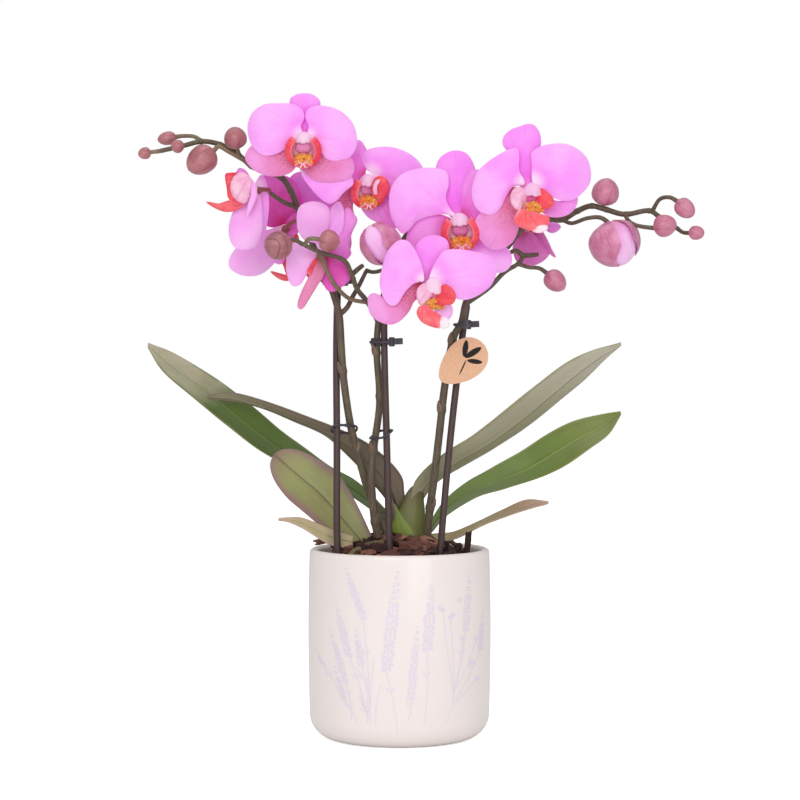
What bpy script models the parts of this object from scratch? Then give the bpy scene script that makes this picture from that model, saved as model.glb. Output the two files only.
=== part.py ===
"""Potted moth orchid: three flower spikes on sticks, seven leaves, a nursery pot in a glazed cachepot.

Metres, +Z up, front towards -Y. The origin is the centre of the cachepot's flat base. Lists of points are
in millimetres, in the plant's own space: its zero is the middle of the cachepot's rim.
"""

import math

import bmesh
import bpy
from mathutils import Matrix, Vector

MM = 0.001
CLEARANCE = 0.0003

# Cachepot
POT_RADIUS = 0.0525
POT_HEIGHT = 0.110
POT_WALL = 0.0045
POT_FLOOR = 0.006
POT_FOOT_ROUND = 0.014
POT_BELLY = 0.0008

# Nursery pot and bark
GROW_POT_RIM_DROP = 0.0127
GROW_POT_SLACK = 0.0022
GROW_POT_WALL = 0.0012
GROW_POT_TAPER = 0.80
DRAIN_HOLES = 6
DRAIN_HOLE_RADIUS = 0.005
BARK_EDGE_DROP = 0.010
BARK_MOUND = 0.012

# Plant, whose points are drawn for a cachepot of this radius and grow with it
PLANT_POT_RADIUS = 0.0525
STICK_RADIUS = 0.0020
STICK_DEPTH = 0.045
STICK_FOOT_INSET = 0.86
STALK_RADIUS = 0.0018
TWIG_RADIUS = 0.0013
PEDICEL_RADIUS = 0.0012
PEDICEL_STAND_OFF = 0.0010
LEAF_THICKNESS = 0.0016
TEPAL_THICKNESS = 0.0011
STEM_HALF_WIDTH = 0.0095
STEM_HALF_DEPTH = 0.0065
STEM_HEIGHT = 0.024
CLIP_WIRE = 0.0011
TAG_LENGTH = 0.031
TAG_WIDTH = 0.0235
TAG_THICKNESS = 0.0014

GLAZE = ("cream_glaze", (0.88, 0.80, 0.77), 0.22)
POT_PLASTIC = ("nursery_plastic", (0.03, 0.03, 0.03), 0.5)
BARK = ("bark_chips", (0.14, 0.07, 0.06), 0.9)
STEM_GREEN = ("stem_green", (0.22, 0.30, 0.08), 0.5)
STALK_BROWN = ("stalk_olive_brown", (0.19, 0.13, 0.09), 0.55)
STICK_PLASTIC = ("stick_dark_plastic", (0.09, 0.05, 0.055), 0.45)
CLIP_PLASTIC = ("clip_dark_plastic", (0.08, 0.07, 0.09), 0.4)
LEAF_GREEN = ("leaf_green", (0.08, 0.12, 0.03), 0.35)
LEAF_GREY = ("leaf_underside", (0.34, 0.31, 0.24), 0.5)
LEAF_OLIVE = ("leaf_olive", (0.26, 0.25, 0.13), 0.4)
BUD_SKIN = ("bud_skin", (0.44, 0.18, 0.19), 0.5)
PETAL_PINK = ("petal_pink", (0.95, 0.40, 0.95), 0.55)
LIP_RED = ("lip_red", (0.80, 0.12, 0.16), 0.45)
TAG_KRAFT = ("tag_kraft", (0.80, 0.50, 0.33), 0.8)
ROOT_GREEN = ("root_green_brown", (0.25, 0.24, 0.12), 0.7)


def clear_scene():
    for obj in list(bpy.data.objects):
        bpy.data.objects.remove(obj)


def material(values):
    name, colour, roughness = values
    made = bpy.data.materials.get(name)
    if made:
        return made
    made = bpy.data.materials.new(name)
    made.use_nodes = True
    shader = made.node_tree.nodes["Principled BSDF"]
    shader.inputs["Base Color"].default_value = (*colour, 1.0)
    shader.inputs["Roughness"].default_value = roughness
    shader.inputs["Metallic"].default_value = 0.0
    return made


def new_object(name, bm, look, parent=None, sharp_angle=40):
    """Turns a bmesh into a named object with smooth shading and one material."""
    bmesh.ops.recalc_face_normals(bm, faces=bm.faces)
    mesh = bpy.data.meshes.new(name)
    bm.to_mesh(mesh)
    bm.free()
    mesh.materials.append(material(look))
    mesh.shade_smooth()
    mesh.set_sharp_from_angle(angle=math.radians(sharp_angle))
    obj = bpy.data.objects.new(name, mesh)
    bpy.context.scene.collection.objects.link(obj)
    obj.parent = parent
    return obj


def boolean(obj, other, operation):
    """Joins a helper to the object, or cuts it out; the helper itself isn't part of the model."""
    other.hide_render = True
    other.display_type = "WIRE"
    modifier = obj.modifiers.new(f"{operation.lower()}_{other.name}", "BOOLEAN")
    modifier.operation = operation
    modifier.solver = "EXACT"
    modifier.object = other


def vectors(points):
    return [Vector(point) * MM for point in points]


def smooth_path(points, steps):
    """A Catmull-Rom curve through the points, with this many steps between each two."""
    first = points[0] * 2 - points[1]
    last = points[-1] * 2 - points[-2]
    padded = [first, *points, last]
    curve = []
    for i in range(len(points) - 1):
        a, b, c, d = padded[i : i + 4]
        for step in range(steps):
            t = step / steps
            curve.append(
                b
                + (c - a) * (t / 2)
                + (a * 2 - b * 5 + c * 4 - d) * (t * t / 2)
                + (b * 3 - a - c * 3 + d) * (t * t * t / 2)
            )
    return [*curve, points[-1].copy()]


def height_point(path, height):
    """Where a rising path crosses a height."""
    for a, b in zip(path, path[1:]):
        if a.z <= height <= b.z:
            return a.lerp(b, (height - a.z) / (b.z - a.z))
    return path[-1].copy()


def tube(path, radii, sides, closed=False):
    """A bmesh swept along a path with one radius per point: capped, or joined end to end."""
    bm = bmesh.new()
    count = len(path)
    normal = None
    rings = []
    for i, point in enumerate(path):
        ahead = path[(i + 1) % count] if closed else path[min(i + 1, count - 1)]
        behind = path[i - 1] if closed else path[max(i - 1, 0)]
        along = (ahead - behind).normalized()
        if normal is None:
            normal = along.orthogonal().normalized()
        normal = (normal - along * normal.dot(along)).normalized()
        side = along.cross(normal)
        ring = []
        for k in range(sides):
            turn = math.tau * k / sides
            ring.append(bm.verts.new(point + (normal * math.cos(turn) + side * math.sin(turn)) * radii[i]))
        rings.append(ring)
    pairs = list(zip(rings, rings[1:]))
    if closed:
        pairs.append((rings[-1], rings[0]))
    for lower, upper in pairs:
        for k in range(sides):
            n = (k + 1) % sides
            bm.faces.new((lower[k], lower[n], upper[n], upper[k]))
    if not closed:
        bm.faces.new(rings[0])
        bm.faces.new(rings[-1])
    return bm


def blade(lefts, rights, sag, thickness):
    """A thin closed blade between two edges, base to tip: knife edges, and a midrib sunk by sag."""
    bm = bmesh.new()
    rings = []
    count = len(lefts)
    for i, (left, right) in enumerate(zip(lefts, rights)):
        low, high = max(i - 1, 0), min(i + 1, count - 1)
        along = (lefts[high] + rights[high]) - (lefts[low] + rights[low])
        across = left - right
        normal = along.cross(across).normalized()
        thick = min(thickness, across.length * 0.4)
        midrib = left.lerp(right, 0.5) - normal * (across.length * sag)
        places = (left, midrib + normal * (thick / 2), right, midrib - normal * (thick / 2))
        rings.append([bm.verts.new(place) for place in places])
    for lower, upper in zip(rings, rings[1:]):
        for k in range(4):
            n = (k + 1) % 4
            bm.faces.new((lower[k], upper[k], upper[n], lower[n]))
    bm.faces.new(rings[0])
    bm.faces.new(rings[-1])
    return bm


def turned(profile, steps):
    """A solid turned round the Z axis from (radius, height) points that start and end on the axis."""
    bm = bmesh.new()
    verts = [bm.verts.new((radius, 0.0, height)) for radius, height in profile]
    edges = [bm.edges.new(pair) for pair in zip(verts, verts[1:])]
    bmesh.ops.spin(
        bm, geom=verts + edges, cent=(0, 0, 0), axis=(0, 0, 1), dvec=(0, 0, 0), angle=math.tau, steps=steps
    )
    bmesh.ops.remove_doubles(bm, verts=bm.verts, dist=1e-6)
    return bm


def arc(centre, radius, start, end, steps):
    """(radius, height) points of an arc, its angles in degrees."""
    points = []
    for i in range(steps + 1):
        angle = math.radians(start + (end - start) * i / steps)
        points.append((centre[0] + radius * math.cos(angle), centre[1] + radius * math.sin(angle)))
    return points


# Pots and bark

def cachepot():
    inner_radius = POT_RADIUS - POT_WALL
    inner_round = POT_FOOT_ROUND - POT_WALL
    rim = POT_WALL / 2
    profile = [(0, 0)]
    profile += arc((POT_RADIUS - POT_FOOT_ROUND, POT_FOOT_ROUND), POT_FOOT_ROUND, -90, 0, 4)
    profile.append((POT_RADIUS + POT_BELLY, POT_HEIGHT * 0.5))
    profile += arc((POT_RADIUS - rim, POT_HEIGHT - rim), rim, 0, 180, 4)
    profile.append((inner_radius + POT_BELLY, POT_HEIGHT * 0.5))
    profile += arc((inner_radius - inner_round, POT_FLOOR + inner_round), inner_round, 0, -90, 3)
    profile.append((0, POT_FLOOR))
    return new_object("ceramic_pot", turned(profile, 40), GLAZE)


def grow_pot_sizes():
    """(top radius, base radius, base height, rim height) of the nursery pot, which stands in the cachepot."""
    top = POT_RADIUS - POT_WALL - GROW_POT_SLACK
    return top, top * GROW_POT_TAPER, POT_FLOOR + CLEARANCE, POT_HEIGHT - GROW_POT_RIM_DROP


def grow_pot():
    top, base, floor, height = grow_pot_sizes()
    lip = 0.0008
    profile = [
        (0, floor),
        (base, floor),
        (top - lip, height - 0.004),
        (top, height - 0.004),
        (top, height),
        (top - GROW_POT_WALL - lip, height),
        (base - GROW_POT_WALL, floor + GROW_POT_WALL),
        (0, floor + GROW_POT_WALL),
    ]
    pot = new_object("grow_pot", turned(profile, 32), POT_PLASTIC)
    ring = base * 0.62
    for i in range(DRAIN_HOLES):
        turn = math.tau * i / DRAIN_HOLES
        place = Vector((ring * math.cos(turn), ring * math.sin(turn), floor))
        ends = [place - Vector((0, 0, 0.004)), place + Vector((0, 0, 0.006))]
        hole = tube(ends, [DRAIN_HOLE_RADIUS] * 2, 10)
        boolean(pot, new_object(f"drain_hole_{i}", hole, POT_PLASTIC), "DIFFERENCE")
    return pot


def bark_height(radius):
    """Top of the bark above the table at a distance from the pot's axis."""
    top = grow_pot_sizes()[0]
    return POT_HEIGHT - BARK_EDGE_DROP + BARK_MOUND * (1 - (radius / top) ** 2)


def bark_bed(plant, sticks):
    top, base, floor, brim_height = grow_pot_sizes()
    gap = GROW_POT_WALL + CLEARANCE
    brim = top - gap - 0.0012
    profile = [
        (0, floor + gap), (base - gap - 0.0004, floor + gap), (brim, brim_height), (brim, bark_height(brim)),
    ]
    profile += [(brim * share, bark_height(brim * share)) for share in (0.85, 0.65, 0.4, 0.2)]
    profile.append((0, bark_height(0)))
    bark = new_object("bark_bed", turned(profile, 32), BARK)
    for name, path in sticks.items():
        start = path[0] - (path[1] - path[0]).normalized() * CLEARANCE
        route = [start, *path[1:4]]
        bore = tube(route, [STICK_RADIUS + CLEARANCE] * 4, 8)
        boolean(bark, new_object(f"bore_{name}", bore, BARK, plant), "DIFFERENCE")
    return bark


# Stem, roots and leaves

STEM_PLACE = Vector((0.0045, 0.0065))
ROOTS = {
    "aerial_root_left": [(-10, -13, 4), (-18, -19, 3), (-26, -25, 0), (-30, -32, -4)],
    "aerial_root_right": [(22, 10, 5), (28, 16, 4), (33, 24, 0)],
}
LEAVES = {
    "leaf_left_long": {
        "look": LEAF_GREEN,
        "left": [
            (-8, 10, 15), (-32, 9, 32), (-53, 10, 43), (-76, 10, 53), (-104, 11, 73), (-123, 13, 89),
            (-140, 16, 103), (-149, 20, 117),
        ],
        "right": [
            (-7, 17, 20), (-25, 24, 37), (-42, 28, 47), (-66, 30, 64), (-88, 31, 82), (-106, 31, 96),
            (-133, 27, 113), (-149, 22, 120),
        ],
    },
    "leaf_left_arched": {
        "look": LEAF_GREY,
        "left": [
            (3, 5, 32), (0, 3, 44), (-18, 2, 61), (-39, 3, 71), (-58, 5, 78), (-80, 8, 86), (-100, 12, 91),
            (-113, 15, 89),
        ],
        "right": [
            (-7, 10, 26), (-15, 12, 36), (-29, 15, 52), (-43, 17, 64), (-59, 18, 72), (-75, 18, 79),
            (-92, 17, 84), (-113, 16, 87),
        ],
    },
    "leaf_left_broad": {
        "look": LEAF_OLIVE,
        "left": [(-27, -9, 2), (-41, -10, 10), (-57, -11, 23), (-64, -11, 29), (-71, -10, 39), (-75, -8, 50)],
        "right": [(-15, -4, 5), (-25, -2, 26), (-35, -1, 42), (-46, -2, 51), (-61, -4, 57), (-74, -7, 55)],
    },
    "leaf_left_low": {
        "look": LEAF_OLIVE,
        "left": [(-27, -15, 1), (-40, -15, 3), (-55, -15.5, 12), (-64, -15, 16), (-70, -14, 17)],
        "right": [(-27, -12, 8), (-39, -13, 12), (-55, -14, 18.5), (-64, -14, 19), (-70, -13.5, 18.5)],
    },
    "leaf_right_high": {
        "look": LEAF_GREY,
        "left": [
            (14, 9, 28), (22, 14, 38), (37, 19, 47), (56, 22, 57), (78, 24, 72), (95, 22, 86), (109, 18, 98),
            (121, 14, 110), (130, 10, 118),
        ],
        "right": [
            (7, -1, 33), (12, -4, 43), (28, -7, 57), (44, -7, 67), (62, -6, 81), (78, -4, 94), (96, 0, 107),
            (113, 4, 115), (130, 8, 120),
        ],
    },
    "leaf_right_middle": {
        "look": LEAF_GREEN,
        "left": [
            (17, 14, 13), (26, 22, 26), (40, 29, 37), (55, 33, 45), (70, 35, 53), (88, 36, 65), (104, 35, 73),
            (120, 33, 77), (132, 30, 79),
        ],
        "right": [
            (18, 4, 8), (28, 3, 19), (45, 5, 29), (62, 7, 34), (81, 9, 40), (98, 12, 48), (112, 16, 57),
            (124, 21, 66), (132, 28, 77),
        ],
    },
    "leaf_right_low": {
        "look": LEAF_OLIVE,
        "left": [(20, 3, 8), (32, 5, 9), (46, 6, 15), (60, 6, 22), (74, 4, 28), (87, 0, 27.5)],
        "right": [(20, -5, 3), (34, -6, 6), (48, -8, 14), (64, -8, 20), (78, -6, 24), (87, -1, 26)],
    },
}


def stem_base(plant):
    """The short flattened stem that the leaves and spikes grow from."""
    bm = bmesh.new()
    bmesh.ops.create_uvsphere(bm, u_segments=16, v_segments=9, radius=1.0)
    foot = (bark_height(0) - POT_HEIGHT) / plant.scale.z + CLEARANCE
    for vert in bm.verts:
        vert.co.x = vert.co.x * STEM_HALF_WIDTH + STEM_PLACE.x
        vert.co.y = vert.co.y * STEM_HALF_DEPTH + STEM_PLACE.y
        vert.co.z = foot + STEM_HEIGHT * (vert.co.z + 1) / 2
    return new_object("stem_base", bm, STEM_GREEN, plant)


def leaves(plant):
    for name, leaf in LEAVES.items():
        lefts = smooth_path(vectors(leaf["left"]), 2)
        rights = smooth_path(vectors(leaf["right"]), 2)
        new_object(name, blade(lefts, rights, 0.06, LEAF_THICKNESS), leaf["look"], plant, 60)


def roots(plant):
    for name, points in ROOTS.items():
        path = smooth_path(vectors(points), 3)
        radii = [0.0022 - 0.0009 * i / (len(path) - 1) for i in range(len(path))]
        new_object(name, tube(path, radii, 8), ROOT_GREEN, plant)


# Sticks and spikes

STICKS = {
    "support_stick_left": [(-35.6, -20, 0), (-36, -18, 60), (-36.3, -15, 120), (-35, -14, 172)],
    "support_stick_middle": [(-5.8, -24, 0), (-7, -22, 50), (-8.6, -19, 110), (-9, -18, 146)],
    "support_stick_right": [(23.4, -21, 0), (29, -18, 62), (35.5, -15, 118), (39, -13.5, 142)],
}
SPIKES = {
    "flower_stalk_left": {
        "main": [
            (-6, -3, 6), (-10, -1, 14), (-18, -2, 33), (-24.5, -8, 57), (-28.5, -12, 73), (-32, -18, 98),
            (-33.5, -20, 120), (-34.5, -21, 135), (-38, -21, 148), (-43, -17, 160), (-49, -11, 174),
            (-54, -10, 186),
            (-58, -16, 196), (-62, -24, 206), (-67, -28, 213.5), (-76, -28, 217), (-84, -27, 220),
            (-91, -27, 226), (-101, -28, 232), (-112, -30, 234), (-124, -32, 231), (-136, -35, 228),
        ],
        "side_twig": [(-34, -20, 136), (-30, -20, 140), (-27, -18, 146), (-23, -18, 153), (-19, -20, 161)],
        "lower_flower_twig": [(-58, -17, 197), (-66, -24, 200), (-74, -31, 205)],
    },
    "flower_stalk_middle": {
        "main": [
            (-12.5, -9, 7), (-15, -10, 22), (-16.3, -11, 42), (-15, -12, 58), (-11.5, -13.5, 85),
            (-13, -15, 112), (-12.5, -16, 129), (-10.5, -14, 141), (-7, -12, 156), (-2, -12, 170),
            (5.5, -14, 184), (17, -17, 194), (31, -19, 203),
        ],
        "left_twig": [
            (-12.4, -16, 132), (-18, -25, 142.5), (-24, -35, 150), (-27, -41, 158), (-31.5, -46, 166),
            (-44, -49, 170), (-54, -51, 174.5),
        ],
        "upper_twig": [(-4, -12, 165), (-8, -12, 182), (-13, -14, 198)],
    },
    "flower_stalk_right": {
        "main": [
            (16, -4, 5), (17.5, -6, 22), (20, -9.5, 41), (23, -12, 67), (26, -14.5, 94), (30.5, -18, 121),
            (35.5, -20.5, 131), (38, -21, 142), (43, -20, 153), (51.5, -17, 164), (62, -16, 175),
            (70, -18, 185), (77, -20, 189), (86, -22, 190.5), (93, -24, 190), (101, -26, 194.5),
            (109, -28, 197.5), (117, -30, 195.5), (128, -32, 192.5), (141, -33, 194.5), (147.5, -33, 191),
            (157.5, -33, 184.5),
        ],
        "lower_twig": [(38, -21, 142), (51, -21, 151), (60, -20, 160), (68, -19, 165), (71.5, -18, 170)],
    },
}


def stick_paths():
    """Each stick's points, from its foot in the bark to its top."""
    paths = {}
    for name, points in STICKS.items():
        shown = vectors(points)
        inset = shown[0] * STICK_FOOT_INSET
        foot = Vector((inset.x, inset.y, shown[0].z - STICK_DEPTH))
        paths[name] = [foot, *smooth_path(shown, 3)]
    return paths


def support_sticks(plant, paths):
    for name, path in paths.items():
        new_object(name, tube(path, [STICK_RADIUS] * len(path), 8), STICK_PLASTIC, plant)


def flower_stalks(plant):
    for name, routes in SPIKES.items():
        stalk = None
        for branch, points in routes.items():
            path = smooth_path(vectors(points), 2)
            base = STALK_RADIUS if branch == "main" else TWIG_RADIUS
            slim = 0.72 if branch == "main" else 0.9
            last = len(path) - 1
            radii = [base * (1 - (1 - slim) * i / last) for i in range(last + 1)]
            if branch == "main":
                stalk = new_object(name, tube(path, radii, 6), STALK_BROWN, plant)
            else:
                twig = new_object(f"{name}_{branch}", tube(path, radii, 6), STALK_BROWN, plant)
                boolean(stalk, twig, "UNION")


# Buds

# Each bud: the stalk point its pedicel leaves, the pedicel's way, the bud's base and tip, its diameter.
BUDS = {
    "bud_left_tip": ([(-136, -35, 228)], (-140.5, -35.6, 227.4), (-148, -36.5, 226), 6.8),
    "bud_left_front": ([(-124, -32, 231), (-124.5, -35, 231.2)], (-125, -37, 231.4), (-128, -43, 231.6), 7.0),
    "bud_left_upper": (
        [(-112, -30, 234), (-117, -27.5, 237), (-123, -26, 237.5)],
        (-127, -26.5, 237), (-138, -27.5, 235), 7.4,
    ),
    "bud_left_large": (
        [(-84, -27, 220), (-88.5, -33, 223), (-96.5, -36, 227.5), (-102, -37, 230.5)],
        (-105.5, -37, 230), (-121, -37, 218.5), 15.6,
    ),
    "bud_left_near": ([(-91, -27, 226)], (-91.5, -32, 231), (-95.8, -35, 243.5), 13.0),
    "bud_middle_left": ([(-54, -51, 174.5), (-59, -53, 177)], (-62, -55, 176), (-77, -59, 169.5), 14.6),
    "bud_middle_right": (
        [(-53, -50.5, 174), (-51, -55, 177), (-48, -56, 177.5)], (-45.5, -56, 177.2), (-33, -55, 175.8), 12.4,
    ),
    "bud_middle_opening": (
        [(-19, -20, 161), (-14, -26, 160), (-7, -35, 162)], (-5, -44, 167), (-18, -55, 184), 20.0,
    ),
    "bud_right_upper": ([(115, -29.6, 196)], (117, -30, 199.5), (117, -31, 214.5), 14.6),
    "bud_right_opening": (
        [(93, -24, 190), (98, -31, 187.5), (106, -35, 190), (113, -36, 190.5)],
        (116.5, -36, 189), (126, -38, 163.5), 27.0,
    ),
    "bud_right_middle": (
        [(128, -32, 192.5), (129.5, -38, 188.5), (134, -42, 185.5)],
        (142.5, -45, 184.5), (155.5, -47, 187.2), 12.2,
    ),
    "bud_right_high": (
        [(143, -33, 193.5), (147, -37, 200.5), (152, -41, 201.5)], (155.5, -43, 200), (164, -45, 192), 10.4,
    ),
    "bud_right_tip": ([(157.5, -33, 184.5), (160, -38, 182)], (163, -41, 181.4), (171.5, -45, 181.4), 8.0),
    "bud_right_lower": (
        [(68, -19, 165), (74, -19, 163), (80, -18.5, 162.5)], (84, -18, 160.5), (93.5, -17.5, 151.5), 11.8,
    ),
}
# Half-width of a bud from its base to its tip, as (share of length, share of half the diameter).
BUD_PROFILE = ((0.0, 0.22), (0.14, 0.66), (0.35, 0.97), (0.58, 1.0), (0.8, 0.72), (0.94, 0.34), (1.0, 0.1))


def step_back(start, towards, distance):
    return start + (towards - start).normalized() * distance


def buds(plant):
    for name, (pedicel, base, tip, diameter) in BUDS.items():
        way = vectors([*pedicel, base])
        way[0] = step_back(way[0], way[1], STALK_RADIUS + PEDICEL_RADIUS + CLEARANCE)
        path = smooth_path(way, 2)[:-1] if len(way) > 2 else way[:1]
        radii = [PEDICEL_RADIUS] * len(path)
        base, tip = vectors([base, tip])
        for share, half in BUD_PROFILE:
            path.append(base.lerp(tip, share))
            radii.append(diameter * MM / 2 * half)
        new_object(name, tube(path, radii, 8), BUD_SKIN, plant, 60)


# Flowers

# Each flower: its centre, the way it faces, its roll in degrees, its size, how far its dorsal sepal reaches,
# and the way of its pedicel to the stalk.
FLOWERS = {
    "flower_left_top": ((-53.5, -54, 235), (0, -1, -0.2), 0, 1.0, 0.84, [(-66, -40, 222), (-67, -28, 213.5)]),
    "flower_left_side": ((-83, -42, 206), (-1, -0.3, -0.35), 0, 1.0, 0.5, [(-74, -37, 206), (-74, -31, 205)]),
    "flower_left_back": ((-67, 6, 187), (-0.1, 1, -0.15), 0, 1.2, 0.9, [(-60, -9, 190), (-54, -10, 186)]),
    "flower_middle_back": (
        (-46, -34, 169), (-0.35, 0.9, -0.2), -12, 1.0, 0.9,
        [(-42, -45, 163), (-37, -40, 153), (-29, -29, 145), (-18, -25, 142.5)],
    ),
    "flower_middle_top": (
        (-18, -34, 213), (0.1, -1, -0.2), -20, 1.06, 0.6, [(-16, -22, 207), (-13, -14, 198)],
    ),
    "flower_middle_large": (
        (33.5, -47, 190), (0, -1, -0.15), -4, 1.27, 1.0, [(32, -30, 200), (31, -19, 203)],
    ),
    "flower_right_top": ((74, -58, 206), (0.2, -1, -0.2), 0, 1.12, 1.08, [(80, -38, 204), (86, -22, 190.5)]),
    "flower_middle_low": ((19, -68, 153), (0.3, -1, -0.45), 0, 1.12, 0.62, [(30, -45, 160), (43, -20, 153)]),
    "flower_right_back": ((72, 3, 188), (0.5, 1, -0.2), 0, 0.9, 0.9, [(72, -9, 187), (70, -18, 185)]),
}
# Tepals of a flower of size 1: angle from upright, length, width, share of the length at the widest, depth.
TEPALS = {
    "dorsal_sepal": (0, 28, 21, 0.55, 1.2),
    "petal_left": (82, 31, 33, 0.58, -0.8),
    "petal_right": (-82, 31, 33, 0.58, -0.8),
    "sepal_left": (134, 30, 19, 0.5, 1.4),
    "sepal_right": (-134, 30, 19, 0.5, 1.4),
}
TEPAL_STATIONS = 6
COLUMN_RADIUS = 2.5
COLUMN_LENGTH = 8.0


def facing_matrix(place, facing, roll):
    """Local -Y turned to face this way, local +Z up, then rolled about the facing line."""
    turn = (-Vector(facing)).normalized().to_track_quat("Y", "Z").to_matrix().to_4x4()
    return Matrix.Translation(place) @ turn @ Matrix.Rotation(math.radians(roll), 4, "Y")


def tepal(angle, length, width, widest, depth, size):
    """A rounded blade that leaves the flower's centre at an angle from upright."""
    lefts, rights = [], []
    turn = Matrix.Rotation(math.radians(-angle), 3, "Y")
    for i in range(TEPAL_STATIONS):
        share = i / (TEPAL_STATIONS - 1)
        if share < widest:
            half = math.sin(math.pi / 2 * (0.18 + 0.82 * share / widest))
        else:
            half = max(0.12, math.cos(math.pi / 2 * (share - widest) / (1 - widest)) ** 0.6)
        back = depth + 2.5 * depth * share * (1 - share)
        for edge, sign in ((lefts, -1), (rights, 1)):
            edge.append(turn @ Vector((sign * half * width / 2, back, 1 + length * share)) * (size * MM))
    return blade(lefts, rights, 0.05, TEPAL_THICKNESS)


def lip_mesh(size):
    """The three-lobed lip: a base knob, two side lobes that rise round the column, and a tongue."""
    scale = size * MM
    knob_route = [Vector(p) * scale for p in ((0, -2.4, -7), (0, -3.4, -7.2), (0, -5.4, -8.2))]
    knob = tube(knob_route, [0.0018 * size, 0.0025 * size, 0.0018 * size], 8)
    tongue_edge = ((-1.6, -4.5, -7.6), (-4.2, -8, -11), (-3.6, -10.5, -15), (-1.2, -10.5, -18))
    tongue_left = [Vector(p) * scale for p in tongue_edge]
    tongue_right = [Vector((-p.x, p.y, p.z)) for p in tongue_left]
    tongue = blade(smooth_path(tongue_left, 1), smooth_path(tongue_right, 1), 0.06, 0.0012)
    lobes = []
    for sign in (-1, 1):
        low_edge = ((0.6, -5.0, -8.2), (5.5, -9.5, -7.5), (8.0, -10.5, -3.0))
        high_edge = ((0.8, -3.4, -6.4), (5.2, -5.6, -2.0), (7.6, -8.6, 0.6))
        low = [Vector((sign * x, y, z)) * scale for x, y, z in low_edge]
        high = [Vector((sign * x, y, z)) * scale for x, y, z in high_edge]
        lobes.append(blade(low, high, 0.08, 0.0012) if sign < 0 else blade(high, low, 0.08, 0.0012))
    return knob, tongue, lobes


def flowers(plant):
    for name, (centre, facing, roll, size, dorsal_reach, pedicel) in FLOWERS.items():
        place = facing_matrix(Vector(centre) * MM, facing, roll)
        inverse = place.inverted()
        column_route = ((0, -COLUMN_LENGTH, -1.2), (0, -4, 0), (0, 1, 0), (0, 6, 0))
        route = [Vector(point) * size * MM for point in column_route]
        column_radius = COLUMN_RADIUS * size * MM
        radii = [column_radius * 0.8, column_radius, 0.0032 * size, PEDICEL_RADIUS * 1.3]
        way = [inverse @ point for point in vectors(pedicel)]
        way[-1] = step_back(way[-1], way[-2], STALK_RADIUS + PEDICEL_RADIUS + PEDICEL_STAND_OFF)
        bend = smooth_path([route[-1], *way], 3)[1:]
        radii += [PEDICEL_RADIUS] * len(bend)
        body = new_object(name, tube(route + bend, radii, 8), PETAL_PINK, plant)
        body.matrix_local = place
        for part, (angle, length, *rest) in TEPALS.items():
            reach = length * (dorsal_reach if part == "dorsal_sepal" else 1)
            helper = new_object(f"{name}_{part}", tepal(angle, reach, *rest, size), PETAL_PINK, plant)
            helper.matrix_local = place
            boolean(body, helper, "UNION")
        knob, tongue, lobes = lip_mesh(size)
        lip = new_object(name.replace("flower", "lip"), knob, LIP_RED, plant)
        lip.matrix_local = place
        for part, shape in (("tongue", tongue), ("lobe_left", lobes[0]), ("lobe_right", lobes[1])):
            helper = new_object(f"{name}_{part}", shape, LIP_RED, plant)
            helper.matrix_local = place
            boolean(lip, helper, "UNION")


# Clips and tag

# Each clip: the stick and the stalk that it holds together, and its height above the rim.
CLIPS = {
    "clip_left_lower": ("support_stick_left", "flower_stalk_left", 70),
    "clip_left_upper": ("support_stick_left", "flower_stalk_left", 155),
    "clip_middle_lower": ("support_stick_middle", "flower_stalk_middle", 67),
    "clip_middle_upper": ("support_stick_middle", "flower_stalk_middle", 120),
    "clip_right_upper": ("support_stick_right", "flower_stalk_right", 130),
}
CLIP_STEPS = 12
TAG_PLACE = Vector((0.0365, -0.0265, 0.1085))


def clips(plant, sticks):
    for name, (stick, stalk, height) in CLIPS.items():
        level = height * MM
        on_stick = height_point(sticks[stick], level)
        on_stalk = height_point(smooth_path(vectors(SPIKES[stalk]["main"]), 2), level)
        apart = on_stick - on_stalk
        apart.z = 0
        long_way = apart.normalized()
        short_way = Vector((-long_way.y, long_way.x, 0))
        room = STICK_RADIUS + CLIP_WIRE + CLEARANCE * 2
        middle = (on_stick + on_stalk) / 2
        loop = []
        for i in range(CLIP_STEPS):
            turn = math.tau * (i + 0.5) / CLIP_STEPS
            end = long_way * (apart.length / 2 * (1 if math.cos(turn) > 0 else -1))
            reach = long_way * (math.cos(turn) * room) + short_way * (math.sin(turn) * room)
            loop.append(middle + end + reach)
        new_object(name, tube(loop, [CLIP_WIRE] * CLIP_STEPS, 5, closed=True), CLIP_PLASTIC, plant)


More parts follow.
